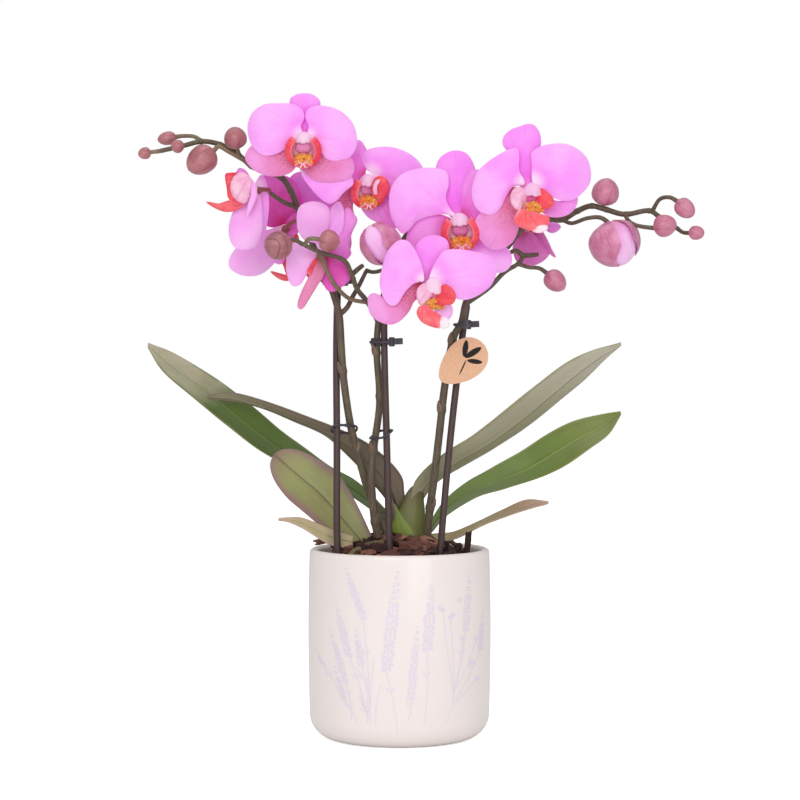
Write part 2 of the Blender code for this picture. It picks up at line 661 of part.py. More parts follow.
def tag(plant, sticks):
    """A blank egg-shaped card on a short neck, with a ring round the right stick."""
    bm = bmesh.new()
    rim = []
    lean = Matrix.Rotation(math.radians(45), 3, "Y")
    for i in range(28):
        turn = math.tau * i / 28
        along = math.cos(turn)
        half = TAG_WIDTH / 2 * (1 + 0.13 * along)
        flat = Vector((half * math.sin(turn), 0, TAG_LENGTH / 2 * along))
        rim.append(bm.verts.new(lean @ flat + TAG_PLACE))
    card = bm.faces.new(rim)
    grown = bmesh.ops.extrude_face_region(bm, geom=[card])
    moved = [item for item in grown["geom"] if isinstance(item, bmesh.types.BMVert)]
    bmesh.ops.translate(bm, verts=moved, vec=(0, TAG_THICKNESS, 0))
    plate = new_object("plant_tag", bm, TAG_KRAFT, plant)
    grip = height_point(sticks["support_stick_right"], TAG_PLACE.z)
    room = STICK_RADIUS + CLIP_WIRE + CLEARANCE
    turns = [math.tau * i / 12 for i in range(12)]
    loop = [grip + Vector((math.cos(turn), math.sin(turn), 0)) * room for turn in turns]
    ring = new_object("tag_ring", tube(loop, [CLIP_WIRE] * 12, 6, closed=True), TAG_KRAFT, plant)
    start = grip - Vector((0, room, 0))
    end = Vector((start.x, TAG_PLACE.y + TAG_THICKNESS / 2, start.z))
    neck = new_object("tag_neck", tube([start, end], [CLIP_WIRE * 0.9] * 2, 6), TAG_KRAFT, plant)
    boolean(plate, neck, "UNION")
    boolean(plate, ring, "UNION")


def main():
    clear_scene()
    plant = bpy.data.objects.new("plant_level", None)
    plant.location = (0, 0, POT_HEIGHT)
    plant.scale = [POT_RADIUS / PLANT_POT_RADIUS] * 3
    bpy.context.scene.collection.objects.link(plant)
    sticks = stick_paths()
    cachepot()
    grow_pot()
    bark_bed(plant, sticks)
    stem_base(plant)
    roots(plant)
    leaves(plant)
    support_sticks(plant, sticks)
    flower_stalks(plant)
    buds(plant)
    flowers(plant)
    clips(plant, sticks)
    tag(plant, sticks)


main()
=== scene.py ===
import math
import random

import bmesh
import bpy
from mathutils import Matrix, Vector, noise


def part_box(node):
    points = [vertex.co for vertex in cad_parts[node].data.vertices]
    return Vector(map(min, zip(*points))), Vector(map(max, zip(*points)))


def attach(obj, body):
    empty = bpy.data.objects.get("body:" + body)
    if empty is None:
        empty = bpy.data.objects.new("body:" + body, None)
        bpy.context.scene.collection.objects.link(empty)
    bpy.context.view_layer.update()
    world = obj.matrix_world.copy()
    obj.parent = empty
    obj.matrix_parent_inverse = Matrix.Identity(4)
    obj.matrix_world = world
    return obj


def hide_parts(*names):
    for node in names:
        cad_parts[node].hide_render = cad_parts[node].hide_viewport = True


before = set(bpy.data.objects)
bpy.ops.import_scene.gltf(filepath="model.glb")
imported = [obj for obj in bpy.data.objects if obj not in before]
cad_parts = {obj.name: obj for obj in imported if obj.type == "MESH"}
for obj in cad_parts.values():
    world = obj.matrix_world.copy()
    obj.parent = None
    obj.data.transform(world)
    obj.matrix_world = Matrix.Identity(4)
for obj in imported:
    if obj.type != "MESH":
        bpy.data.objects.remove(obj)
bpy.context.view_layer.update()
mm = 0.001
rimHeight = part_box("ceramic_pot")[1].z  # plant points are measured from the rim
random.seed(7)


# Modelling helpers

def clearSelection():
    bpy.ops.object.select_all(action="DESELECT")


def makeActive(obj):
    clearSelection()
    obj.select_set(True)
    bpy.context.view_layer.objects.active = obj


def applyModifier(obj, kind, **settings):
    made = obj.modifiers.new(kind.lower(), kind)
    for key, value in settings.items():
        setattr(made, key, value)
    makeActive(obj)
    bpy.ops.object.modifier_apply(modifier=made.name)


def joinPieces(parts, name):
    clearSelection()
    for part in parts:
        part.select_set(True)
    bpy.context.view_layer.objects.active = parts[0]
    if len(parts) > 1:
        bpy.ops.object.join()
    joined = bpy.context.view_layer.objects.active
    joined.name = name
    return joined


def settle(obj, slotName, nodes=(), smoothAngle=50):
    makeActive(obj)
    bpy.ops.object.transform_apply(location=True, rotation=True, scale=True)
    bpy.ops.object.shade_smooth_by_angle(angle=math.radians(smoothAngle))
    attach(obj, "root")
    if nodes:
        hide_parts(*nodes)
    return obj


def plantPoint(point):
    return Vector((point[0] * mm, point[1] * mm, point[2] * mm + rimHeight))


def plantPoints(points):
    return [plantPoint(point) for point in points]


def bendPoints(a, b, c, d, steps):
    points = []
    for step in range(steps):
        t = step / steps
        bend = b + (c - a) * (t / 2) + (a * 2 - b * 5 + c * 4 - d) * (t * t / 2)
        points.append(bend + (b * 3 - a - c * 3 + d) * (t * t * t / 2))
    return points


def smoothPath(points, steps):
    padded = [points[0] * 2 - points[1], *points, points[-1] * 2 - points[-2]]
    curve = []
    for i in range(len(points) - 1):
        curve += bendPoints(*padded[i : i + 4], steps)
    return [*curve, points[-1].copy()]


def along(path, share):
    place = min(max(share, 0.0), 1.0) * (len(path) - 1)
    i = min(int(place), len(path) - 2)
    return path[i].lerp(path[i + 1], place - i)


def between(values, share):
    place = min(max(share, 0.0), 1.0) * (len(values) - 1)
    i = min(int(place), len(values) - 2)
    return values[i] + (values[i + 1] - values[i]) * (place - i)


def heightPoint(path, height):
    for a, b in zip(path, path[1:]):
        if a.z <= height <= b.z:
            return a.lerp(b, (height - a.z) / (b.z - a.z))
    return path[-1].copy()


def makeTube(name, path, radii, look, roundness=6, closed=False):
    curve = bpy.data.curves.new(name, "CURVE")
    curve.dimensions = "3D"
    curve.bevel_depth = 1.0
    curve.bevel_resolution = roundness
    curve.use_fill_caps = not closed
    curve.twist_mode = "MINIMUM"
    spline = curve.splines.new("POLY")
    spline.points.add(len(path) - 1)
    spline.use_cyclic_u = closed
    for i, (point, place) in enumerate(zip(spline.points, path)):
        point.co = (*place, 1.0)
        point.radius = radii[i] if len(radii) == len(path) else between(radii, i / (len(path) - 1))
    obj = bpy.data.objects.new(name, curve)
    bpy.context.scene.collection.objects.link(obj)
    makeActive(obj)
    bpy.ops.object.convert(target="MESH")
    obj = bpy.context.active_object
    bpy.ops.object.mode_set(mode="EDIT")
    bpy.ops.mesh.select_all(action="SELECT")
    bpy.ops.mesh.remove_doubles(threshold=1e-6)
    bpy.ops.mesh.normals_make_consistent(inside=False)
    bpy.ops.object.mode_set(mode="OBJECT")
    obj.data.materials.clear()
    obj.data.materials.append(look)
    return obj


def makeSheet(name, across, length, shape, looks, thickness, spread=None, thinEdge=1.0):
    clearSelection()
    bpy.ops.mesh.primitive_grid_add(x_subdivisions=across, y_subdivisions=length, size=2)
    obj = bpy.context.active_object
    obj.name = name
    mesh = obj.data
    flat = [(vert.co.x, vert.co.y) for vert in mesh.vertices]
    if spread:
        layer = mesh.uv_layers.active.data
        for loop in mesh.loops:
            layer[loop.index].uv = spread(*flat[loop.vertex_index])
    if thinEdge < 1:
        group = obj.vertex_groups.new(name="body")
        for i, (x, y) in enumerate(flat):
            group.add([i], 1 - max(abs(x), abs(y)) ** 6, "REPLACE")
    for vert, (x, y) in zip(mesh.vertices, flat):
        vert.co = shape(x, y)
    for look in looks:
        mesh.materials.append(look)
    settings = {"thickness": thickness, "offset": 0.0, "material_offset": int(len(looks) > 1)}
    if thinEdge < 1:
        settings.update(vertex_group="body", thickness_vertex_group=thinEdge)
    applyModifier(obj, "SOLIDIFY", **settings)
    return obj


def makeBall(name, segments, rings, shape, look):
    clearSelection()
    bpy.ops.mesh.primitive_uv_sphere_add(segments=segments, ring_count=rings, radius=1.0)
    obj = bpy.context.active_object
    obj.name = name
    for vert in obj.data.vertices:
        vert.co = shape(vert.co.copy())
    obj.data.materials.append(look)
    return obj


# Material helpers

def linear(value):
    return value / 255 / 12.92 if value < 10.3 else ((value / 255 + 0.055) / 1.055) ** 2.4


def tone(red, green, blue):
    return (linear(red), linear(green), linear(blue), 1.0)


def newLook(name, roughness, specular=0.5, **sockets):
    look = bpy.data.materials.new(name)
    look.use_nodes = True
    shader = look.node_tree.nodes["Principled BSDF"]
    shader.inputs["Roughness"].default_value = roughness
    shader.inputs["Specular IOR Level"].default_value = specular
    for key, value in sockets.items():
        shader.inputs[key.replace("_", " ")].default_value = value
    return look, look.node_tree, shader


def put(tree, kind, inputs, **settings):
    node = tree.nodes.new(kind)
    for key, value in settings.items():
        setattr(node, key, value)
    for key, value in inputs.items():
        if isinstance(value, bpy.types.NodeSocket):
            tree.links.new(value, node.inputs[key])
        else:
            node.inputs[key].default_value = value
    return node


def mixTone(tree, factor, first, second, blend="MIX"):
    node = put(tree, "ShaderNodeMix", {0: factor, 6: first, 7: second}, data_type="RGBA", blend_type=blend)
    return node.outputs[2]


def sums(tree, operation, first, second=0.0, clamp=False):
    return put(tree, "ShaderNodeMath", {0: first, 1: second}, operation=operation, use_clamp=clamp).outputs[0]


def fade(tree, value, low, high, toLow=0.0, toHigh=1.0):
    values = {0: value, 1: low, 2: high, 3: toLow, 4: toHigh}
    return put(tree, "ShaderNodeMapRange", values, interpolation_type="SMOOTHSTEP").outputs[0]


def bodyPlace(tree):
    return put(tree, "ShaderNodeTexCoord", {}).outputs["Object"]


def spreadPlace(tree):
    return put(tree, "ShaderNodeUVMap", {}).outputs[0]


def stretched(tree, vector, scale):
    return put(tree, "ShaderNodeMapping", {"Vector": vector, "Scale": scale}).outputs[0]


def cloud(tree, vector, scale, detail=3.0, roughness=0.5):
    values = {"Vector": vector, "Scale": scale, "Detail": detail, "Roughness": roughness}
    return put(tree, "ShaderNodeTexNoise", values).outputs["Fac"]


def pits(tree, vector, scale, feature="F1"):
    values = {"Vector": vector, "Scale": scale}
    return put(tree, "ShaderNodeTexVoronoi", values, feature=feature).outputs["Distance"]


def relief(tree, shader, height, strength, distance):
    node = put(tree, "ShaderNodeBump", {"Height": height, "Strength": strength, "Distance": distance})
    tree.links.new(node.outputs[0], shader.inputs["Normal"])


def useTone(tree, shader, colour):
    tree.links.new(colour, shader.inputs["Base Color"])


def glazeLook():
    look, tree, shader = newLook("creamGlaze", 0.2, 0.5, Coat_Weight=0.35, Coat_Roughness=0.08)
    place = bodyPlace(tree)
    clouds = cloud(tree, place, 22.0)
    specks = fade(tree, pits(tree, place, 420.0), 0.06, 0.16, 1.0, 0.0)
    colour = mixTone(tree, clouds, tone(249, 239, 236), tone(246, 235, 231))
    colour = mixTone(tree, sums(tree, "MULTIPLY", specks, 0.08), colour, tone(214, 190, 178))
    useTone(tree, shader, colour)
    relief(tree, shader, cloud(tree, place, 60.0, 2.0), 0.05, 0.0004)
    return look


def printLook():
    look, tree, shader = newLook("lilacPrint", 0.26, 0.5, Coat_Weight=0.3, Coat_Roughness=0.1)
    place = bodyPlace(tree)
    colour = mixTone(tree, cloud(tree, place, 300.0), tone(236, 223, 240), tone(242, 230, 241))
    useTone(tree, shader, colour)
    return look


def footLook():
    look, tree, shader = newLook("bareClay", 0.85, 0.3)
    place = bodyPlace(tree)
    useTone(tree, shader, mixTone(tree, cloud(tree, place, 350.0), tone(226, 212, 200), tone(206, 190, 176)))
    relief(tree, shader, cloud(tree, place, 900.0), 0.3, 0.0002)
    return look


def plasticLook(name, dark, light, roughness, grain):
    look, tree, shader = newLook(name, roughness, 0.5)
    place = bodyPlace(tree)
    colour = mixTone(tree, cloud(tree, stretched(tree, place, (1, 1, 0.12)), grain, 4.0), dark, light)
    useTone(tree, shader, colour)
    relief(tree, shader, cloud(tree, stretched(tree, place, (1, 1, 0.1)), grain * 3, 3.0), 0.18, 0.0003)
    return look


def barkLook():
    look, tree, shader = newLook("barkChips", 0.85, 0.3)
    place = bodyPlace(tree)
    own = put(tree, "ShaderNodeAttribute", {}, attribute_name="chipTone").outputs["Fac"]
    fibres = cloud(tree, stretched(tree, place, (1, 1, 0.35)), 700.0, 5.0, 0.65)
    mixed = sums(tree, "ADD", sums(tree, "MULTIPLY", own, 0.75), sums(tree, "MULTIPLY", fibres, 0.35))
    ramp = put(tree, "ShaderNodeValToRGB", {"Fac": mixed})
    stops = ramp.color_ramp.elements
    stops[0].position, stops[0].color = 0.12, tone(38, 27, 28)
    stops[1].position, stops[1].color = 0.95, tone(176, 128, 112)
    for position, colour in ((0.38, tone(84, 56, 52)), (0.62, tone(122, 80, 70)), (0.8, tone(143, 98, 84))):
        stop = stops.new(position)
        stop.color = colour
    useTone(tree, shader, ramp.outputs[0])
    relief(tree, shader, fibres, 0.7, 0.0006)
    return look


def stalkLook(name, low, high, blush):
    look, tree, shader = newLook(name, 0.42, 0.4)
    place = bodyPlace(tree)
    streaks = cloud(tree, stretched(tree, place, (1, 1, 0.14)), 900.0, 4.0, 0.6)
    patches = fade(tree, cloud(tree, place, 55.0), 0.38, 0.68)
    colour = mixTone(tree, fade(tree, streaks, 0.3, 0.7), low, high)
    colour = mixTone(tree, sums(tree, "MULTIPLY", patches, 0.55), colour, blush)
    useTone(tree, shader, colour)
    relief(tree, shader, streaks, 0.25, 0.0003)
    return look


def leafLook(name, body, edge, tip, rib, values):
    look, tree, shader = newLook(
        name, values["roughness"], 0.45, Coat_Weight=values["coat"], Coat_Roughness=0.22,
    )
    spread = spreadPlace(tree)
    parts = put(tree, "ShaderNodeSeparateXYZ", {0: spread})
    u, v = parts.outputs[0], parts.outputs[1]
    place = bodyPlace(tree)
    fromRib = sums(tree, "ABSOLUTE", sums(tree, "SUBTRACT", u, 0.5))
    veins = cloud(tree, stretched(tree, spread, (46, 1.6, 1)), 1.0, 3.0, 0.6)
    patches = cloud(tree, place, 38.0, 4.0)
    # Body colour runs into the tip colour towards the tip: on the long left leaf a painted reflection of the
    # bright studio, on the other leaves the tip's own tone.
    colour = mixTone(tree, fade(tree, v, values["tipFrom"], values["tipTo"]), body, tip)
    colour = mixTone(
        tree, sums(tree, "MULTIPLY", fade(tree, patches, 0.35, 0.7), 0.35), colour, values["patch"],
    )
    shade = mixTone(tree, fade(tree, veins, 0.3, 0.7), tone(205, 205, 205), tone(255, 255, 255))
    colour = mixTone(tree, values["vein"], colour, shade, "MULTIPLY")
    uneven = sums(tree, "MULTIPLY", sums(tree, "SUBTRACT", patches, 0.5), 0.16)
    wander = sums(tree, "ADD", fromRib, uneven)
    margin = fade(tree, wander, 0.5 - values["margin"], 0.5)
    onward = sums(tree, "ADD", v, sums(tree, "MULTIPLY", wander, 0.2))
    ends = fade(tree, onward, 1.08 - values["endMargin"], 1.04)
    colour = mixTone(tree, sums(tree, "MAXIMUM", margin, ends), colour, edge)
    line = fade(tree, fromRib, 0.006, 0.03, values["ribShow"], 0.0)
    colour = mixTone(tree, line, colour, rib)
    rim = fade(tree, fromRib, 0.484, 0.5, 0.0, 0.6)
    colour = mixTone(tree, rim, colour, values["rimTone"])
    useTone(tree, shader, colour)
    height = sums(tree, "ADD", veins, sums(tree, "MULTIPLY", cloud(tree, place, 500.0), 0.25))
    relief(tree, shader, height, 0.12, 0.0005)
    return look


def petalLook(name, tones, speckle=0.0):
    body, pale, deep, throat = [tone(*value) for value in tones]
    look, tree, shader = newLook(name, 0.5, 0.25, Sheen_Weight=0.12, Subsurface_Weight=0.12)
    shader.inputs["Subsurface Radius"].default_value = (0.0016, 0.0006, 0.0014)
    shader.inputs["Subsurface Scale"].default_value = 1.0
    spread = spreadPlace(tree)
    v = put(tree, "ShaderNodeSeparateXYZ", {0: spread}).outputs[1]
    place = bodyPlace(tree)
    veins = cloud(tree, stretched(tree, spread, (70, 1.2, 1)), 1.0, 4.0, 0.7)
    soft = cloud(tree, place, 45.0, 2.0)
    colour = mixTone(tree, fade(tree, soft, 0.32, 0.68), body, pale)
    colour = mixTone(tree, fade(tree, v, 0.55, 1.05, 0.0, 0.55), colour, pale)
    colour = mixTone(tree, fade(tree, veins, 0.5, 0.74, 0.0, 0.5), colour, deep)
    # Deeper colour towards the foot: partly the tepal's own deeper base, partly painted shade where tepals
    # overlap near the flower's centre.
    colour = mixTone(tree, fade(tree, v, 0.05, 0.5, 0.75, 0.0), colour, deep)
    if speckle:
        dots = fade(tree, pits(tree, place, 1250.0), 0.15, 0.5, 1.0, 0.0)
        zone = fade(tree, v, 0.25, 0.85, speckle, 0.0)
        colour = mixTone(tree, zone, colour, mixTone(tree, dots, tone(228, 122, 168), tone(176, 54, 86)))
    colour = mixTone(tree, fade(tree, v, 0.04, 0.27, 0.95, 0.0), colour, throat)
    useTone(tree, shader, colour)
    relief(tree, shader, veins, 0.14, 0.0004)
    return look


def lipLook(name, base, edge, stripe, values):
    look, tree, shader = newLook(name, 0.35, 0.45, Subsurface_Weight=0.1)
    shader.inputs["Subsurface Radius"].default_value = (0.0014, 0.0005, 0.0006)
    spread = spreadPlace(tree)
    parts = put(tree, "ShaderNodeSeparateXYZ", {0: spread})
    u, v = parts.outputs[0], parts.outputs[1]
    place = bodyPlace(tree)
    colour = mixTone(tree, fade(tree, cloud(tree, place, 180.0), 0.35, 0.65), base, values["second"])
    lines = fade(tree, cloud(tree, stretched(tree, spread, (26, 1.0, 1)), 1.0, 2.0), 0.5, 0.62)
    colour = mixTone(tree, sums(tree, "MULTIPLY", lines, values["stripeShow"]), colour, stripe)
    fromMiddle = sums(tree, "ABSOLUTE", sums(tree, "SUBTRACT", u, 0.5))
    margin = fade(tree, fromMiddle, 0.5 - values["margin"], 0.5)
    outer = sums(tree, "MAXIMUM", margin, fade(tree, v, 1 - values["margin"], 1.0))
    colour = mixTone(tree, sums(tree, "MULTIPLY", outer, values["edgeShow"]), colour, edge)
    useTone(tree, shader, colour)
    relief(tree, shader, lines, 0.1, 0.0002)
    return look


def budLook(name, low, high, stripe, rings=0.0):
    look, tree, shader = newLook(name, 0.34, 0.5, Coat_Weight=0.18, Coat_Roughness=0.3)
    spread = spreadPlace(tree)
    place = bodyPlace(tree)
    streaks = cloud(tree, stretched(tree, spread, (34, 1.1, 1)), 1.0, 3.0, 0.6)
    patches = cloud(tree, place, 120.0, 3.0)
    colour = mixTone(tree, fade(tree, patches, 0.3, 0.7), low, high)
    colour = mixTone(tree, fade(tree, streaks, 0.5, 0.68, 0.0, 0.6), colour, stripe)
    if rings:
        v = put(tree, "ShaderNodeSeparateXYZ", {0: spread}).outputs[1]
        wander = sums(tree, "MULTIPLY", cloud(tree, place, 70.0, 1.0), 1.5)
        turn = sums(tree, "ADD", sums(tree, "MULTIPLY", v, 3.4), wander)
        line = sums(tree, "ABSOLUTE", sums(tree, "SUBTRACT", sums(tree, "FRACT", turn), 0.5))
        colour = mixTone(tree, fade(tree, line, 0.02, 0.13, rings, 0.0), colour, tone(112, 58, 68))
    useTone(tree, shader, colour)
    relief(tree, shader, sums(tree, "ADD", streaks, cloud(tree, place, 700.0)), 0.16, 0.0004)
    return look


def kraftLook():
    look, tree, shader = newLook("kraftCard", 0.9, 0.2)
    place = bodyPlace(tree)
    fibres = cloud(tree, stretched(tree, place, (1, 1, 0.4)), 1400.0, 5.0, 0.7)
    flecks = fade(tree, pits(tree, place, 900.0), 0.05, 0.16, 0.5, 0.0)
    colour = mixTone(tree, fade(tree, fibres, 0.3, 0.7), tone(228, 178, 140), tone(240, 196, 162))
    colour = mixTone(tree, flecks, colour, tone(205, 150, 105))
    useTone(tree, shader, colour)
    relief(tree, shader, fibres, 0.25, 0.0002)
    return look


def inkLook():
    look, tree, shader = newLook("darkInk", 0.7, 0.3)
    grain = cloud(tree, bodyPlace(tree), 1500.0)
    useTone(tree, shader, mixTone(tree, grain, tone(26, 22, 22), tone(44, 36, 34)))
    return look


leafDefaults = {
    "roughness": 0.4, "coat": 0.08, "tipFrom": 0.5, "tipTo": 0.9, "patch": tone(96, 112, 58), "vein": 0.35,
    "margin": 0.06, "endMargin": 0.04, "ribShow": 0.6, "rimTone": tone(150, 146, 104),
}
looks = {
    "glaze": glazeLook(),
    "print": printLook(),
    "foot": footLook(),
    "pot": plasticLook("nurseryPlastic", tone(34, 32, 33), tone(52, 48, 48), 0.5, 500.0),
    "bark": barkLook(),
    "stick": plasticLook("stickPlastic", tone(56, 38, 38), tone(84, 62, 60), 0.45, 700.0),
    "clip": plasticLook("clipPlastic", tone(52, 48, 56), tone(78, 72, 82), 0.4, 900.0),
    "stalk": stalkLook("stalkSkin", tone(84, 74, 60), tone(112, 102, 78), tone(98, 72, 68)),
    "twig": stalkLook("twigSkin", tone(112, 100, 74), tone(142, 132, 98), tone(136, 100, 88)),
    "bract": stalkLook("bractSkin", tone(108, 88, 74), tone(140, 120, 100), tone(116, 82, 78)),
    "pedicelRed": stalkLook("pedicelRed", tone(132, 66, 66), tone(160, 92, 84), tone(118, 60, 58)),
    "root": stalkLook("rootSkin", tone(92, 88, 52), tone(134, 130, 84), tone(108, 84, 66)),
    "lipLobe": lipLook(
        "lipLobe", tone(238, 62, 92), tone(252, 134, 150), tone(214, 34, 72),
        {"second": tone(250, 88, 96), "stripeShow": 0.4, "margin": 0.1, "edgeShow": 0.7},
    ),
    "lipPale": lipLook(
        "lipPale", tone(246, 176, 214), tone(250, 150, 160), tone(222, 120, 170),
        {"second": tone(248, 198, 220), "stripeShow": 0.4, "margin": 0.12, "edgeShow": 0.7},
    ),
    "lipRed": lipLook(
        "lipRed", tone(234, 86, 110), tone(250, 150, 176), tone(206, 48, 84),
        {"second": tone(250, 106, 110), "stripeShow": 0.5, "margin": 0.1, "edgeShow": 0.6},
    ),
    "lipInner": lipLook(
        "lipInner", tone(252, 204, 214), tone(248, 122, 108), tone(212, 70, 118),
        {"second": tone(240, 150, 200), "stripeShow": 0.55, "margin": 0.14, "edgeShow": 0.9},
    ),
    "tongue": lipLook(
        "lipTongue", tone(252, 92, 100), tone(255, 196, 206), tone(236, 60, 84),
        {"second": tone(250, 112, 124), "stripeShow": 0.5, "margin": 0.12, "edgeShow": 0.85},
    ),
    "callus": lipLook(
        "lipCallus", tone(252, 186, 88), tone(255, 232, 180), tone(204, 78, 40),
        {"second": tone(250, 138, 52), "stripeShow": 0.95, "margin": 0.1, "edgeShow": 0.5},
    ),
    "bud": budLook("budRose", tone(170, 98, 106), tone(192, 124, 128), tone(126, 64, 72)),
    "budRinged": budLook("budRinged", tone(158, 92, 102), tone(182, 122, 126), tone(124, 66, 76), 0.7),
    "budPink": budLook("budPink", tone(196, 110, 138), tone(214, 138, 162), tone(150, 64, 98)),
    "budSepal": budLook("budSepal", tone(204, 112, 152), tone(226, 150, 184), tone(160, 64, 104)),
    "sheath": stalkLook("sheathGreen", tone(104, 122, 52), tone(150, 166, 84), tone(128, 118, 74)),
    "kraft": kraftLook(),
    "ink": inkLook(),
}
# Each petal look: its body, pale patches, deep veins and deeper base (partly painted shade), and foot.
petalTones = {
    "petal": ("petalPink", [(252, 152, 250), (255, 182, 253), (249, 134, 241), (255, 222, 249)]),
    "petalPale": ("petalPale", [(253, 172, 246), (255, 194, 250), (252, 160, 240), (250, 182, 228)]),
    # A darker copy of the petal pink for tepal backs and for petals that sit behind others: partly their own
    # colour, partly painted shade.
    "petalBack": ("petalBack", [(248, 132, 230), (252, 162, 246), (236, 98, 204), (216, 80, 150)]),
    # A deep magenta copy of the petal pink: painted shade for tepals that lie in a flower's shaded depths.
    "petalDeep": ("petalDeep", [(230, 76, 182), (244, 122, 216), (210, 40, 142), (214, 36, 118)]),
    "petalRose": ("petalRose", [(226, 112, 196), (236, 144, 212), (202, 84, 152), (186, 84, 130)]),
    "sepal": ("sepalPink", [(250, 128, 246), (253, 162, 250), (243, 104, 228), (250, 176, 238)]),
    "sepalSpeckled": (
        "sepalSpeckled", [(233, 126, 192), (248, 164, 230), (214, 92, 146), (186, 56, 88)], 0.95,
    ),
    "sepalRose": ("sepalRose", [(242, 128, 222), (250, 160, 242), (226, 86, 176), (206, 56, 120)]),
    "sepalNarrow": ("sepalNarrow", [(232, 126, 176), (240, 160, 200), (200, 104, 130), (186, 110, 110)]),
    # The lip's throat magenta: partly its own colour, partly painted shade inside the lip.
    "throat": ("throatMagenta", [(212, 92, 156), (234, 146, 194), (176, 48, 112), (216, 96, 150)]),
    "column": ("columnWhite", [(247, 192, 228), (253, 216, 240), (230, 148, 200), (250, 206, 236)]),
    "tendril": ("tendrilPale", [(255, 226, 236), (255, 240, 246), (252, 190, 210), (252, 180, 190)]),
    "budPetal": ("budPetal", [(248, 180, 236), (253, 206, 246), (226, 134, 190), (236, 160, 196)]),
}
for key, values in petalTones.items():
    looks[key] = petalLook(*values)
print("materials made")


# Glazed pot, its printed lavender and the nursery pot

potShape = {
    "wall": 0.0045, "belly": 0.0008, "footRound": 0.014, "floor": 0.006, "turns": 144,
    "footRing": (0.0300, 0.0375), "footRise": 0.0009, "printRise": 0.00006,
}
potLow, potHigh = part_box("ceramic_pot")
potRadius = (potHigh.x - potLow.x) / 2 - potShape["belly"]


def roundCorner(centre, radius, start, end, steps):
    turns = [math.radians(start + (end - start) * i / steps) for i in range(steps + 1)]
    return [(centre[0] + radius * math.cos(turn), centre[1] + radius * math.sin(turn)) for turn in turns]


def potSide(height):
    foot = potShape["footRound"]
    if height < foot:
        return potRadius - foot + math.sqrt(max(foot**2 - (foot - height) ** 2, 0.0))
    share = (height - foot) / (rimHeight - foot)
    return potRadius + potShape["belly"] * math.sin(math.pi * share)


def buildPot():
    wall, foot = potShape["wall"], potShape["footRound"]
    inner, innerRound = potRadius - wall, foot - wall
    ringIn, ringOut = potShape["footRing"]
    rise = potShape["footRise"]
    profile = [(0.0, rise), (ringIn - rise, rise), (ringIn, 0.0002), (ringIn + 0.0006, 0.0), (ringOut, 0.0)]
    profile += roundCorner((potRadius - foot, foot), foot, -90, 0, 14)
    for i in range(1, 14):
        height = foot + (rimHeight - wall / 2 - foot) * i / 14
        profile.append((potSide(height), height))
    profile += roundCorner((potRadius - wall / 2, rimHeight - wall / 2), wall / 2, 0, 180, 12)
    for i in range(1, 10):
        height = rimHeight - wall / 2 - (rimHeight - wall / 2 - potShape["floor"] - innerRound) * i / 10
        profile.append((inner, height))
    profile += roundCorner((inner - innerRound, potShape["floor"] + innerRound), innerRound, 0, -90, 8)
    profile.append((0.0, potShape["floor"]))
    mesh = bpy.data.meshes.new("pot")
    mesh.from_pydata([(r, 0.0, z) for r, z in profile], [(i, i + 1) for i in range(len(profile) - 1)], [])
    pot = bpy.data.objects.new("glazedPot", mesh)
    bpy.context.scene.collection.objects.link(pot)
    makeActive(pot)
    bpy.ops.object.mode_set(mode="EDIT")
    bpy.ops.mesh.select_all(action="SELECT")
    bpy.ops.mesh.spin(steps=potShape["turns"], angle=math.tau, center=(0, 0, 0), axis=(0, 0, 1))
    bpy.ops.mesh.select_all(action="SELECT")
    bpy.ops.mesh.remove_doubles(threshold=1e-6)
    bpy.ops.mesh.normals_make_consistent(inside=False)
    bpy.ops.object.mode_set(mode="OBJECT")
    pot.data.materials.append(looks["glaze"])
    pot.data.materials.append(looks["foot"])
    for face in pot.data.polygons:
        low = face.center.z < rise + 0.0001
        reach = math.hypot(face.center.x, face.center.y)
        face.material_index = 1 if low and ringIn - 0.002 < reach < ringOut + 0.001 else 0
    settle(pot, "cream_glaze", ["ceramic_pot"], 60)


# Each sprig: top of its head, foot of its head, end of its stem, half-width; all across and up the pot in mm.
sprigs = [
    ((-30, 102), (-20, 75), (-16.5, 16), 2.4), ((-1, 101), (-7.5, 46), (-1, 11), 3.6),
    ((18, 94), (15.4, 57), (14.3, 16), 3.2), ((10, 70), (6.4, 30), (4.8, 17), 2.3),
    ((-35.5, 81), (-28, 53), (-17.5, 18), 2.2), ((-38.5, 66), (-30, 38), (-27, 17), 2.0),
    ((-24, 68), (-21, 48), (-16, 24), 2.0), ((-36.5, 46), (-31, 28), (-24, 15), 1.6),
    ((39.5, 97), (37, 66), (30, 30), 2.0), ((47.3, 76), (45.5, 54), (31.5, 27), 1.6),
    ((-47.5, 53), (-43, 46), (-33, 30), 1.2), ((-22, 33), (-20, 25), (-18, 15), 1.3),
]
looseFlowers = [
    (24.3, 79), (22.6, 80.5), (28.4, 74.5), (29.8, 76), (33.5, 84), (35, 62), (43, 61), (40.5, 48), (44, 38),
]
fineStems = [
    ((24.3, 77), (26, 60), (30, 34)), ((28.4, 73), (29.5, 56), (30.6, 34)),
    ((30.4, 36), (30, 26), (26.5, 15)),
    ((35, 61), (34, 48), (31, 36)), ((43, 60), (38, 46), (31.5, 34)), ((-14, 52), (-16, 36), (-17, 20)),
    ((-24, 47), (-19, 38), (-17.6, 22)), ((-10, 38), (-13, 26), (-13.5, 15)), ((44, 38), (38, 32), (31, 26)),
]


def onPot(across, up, turned):
    height = up * mm
    radius = potSide(height) + potShape["printRise"]
    angle = math.asin(max(-0.995, min(0.995, across * mm / potRadius))) + turned
    return Vector((radius * math.sin(angle), -radius * math.cos(angle), height))


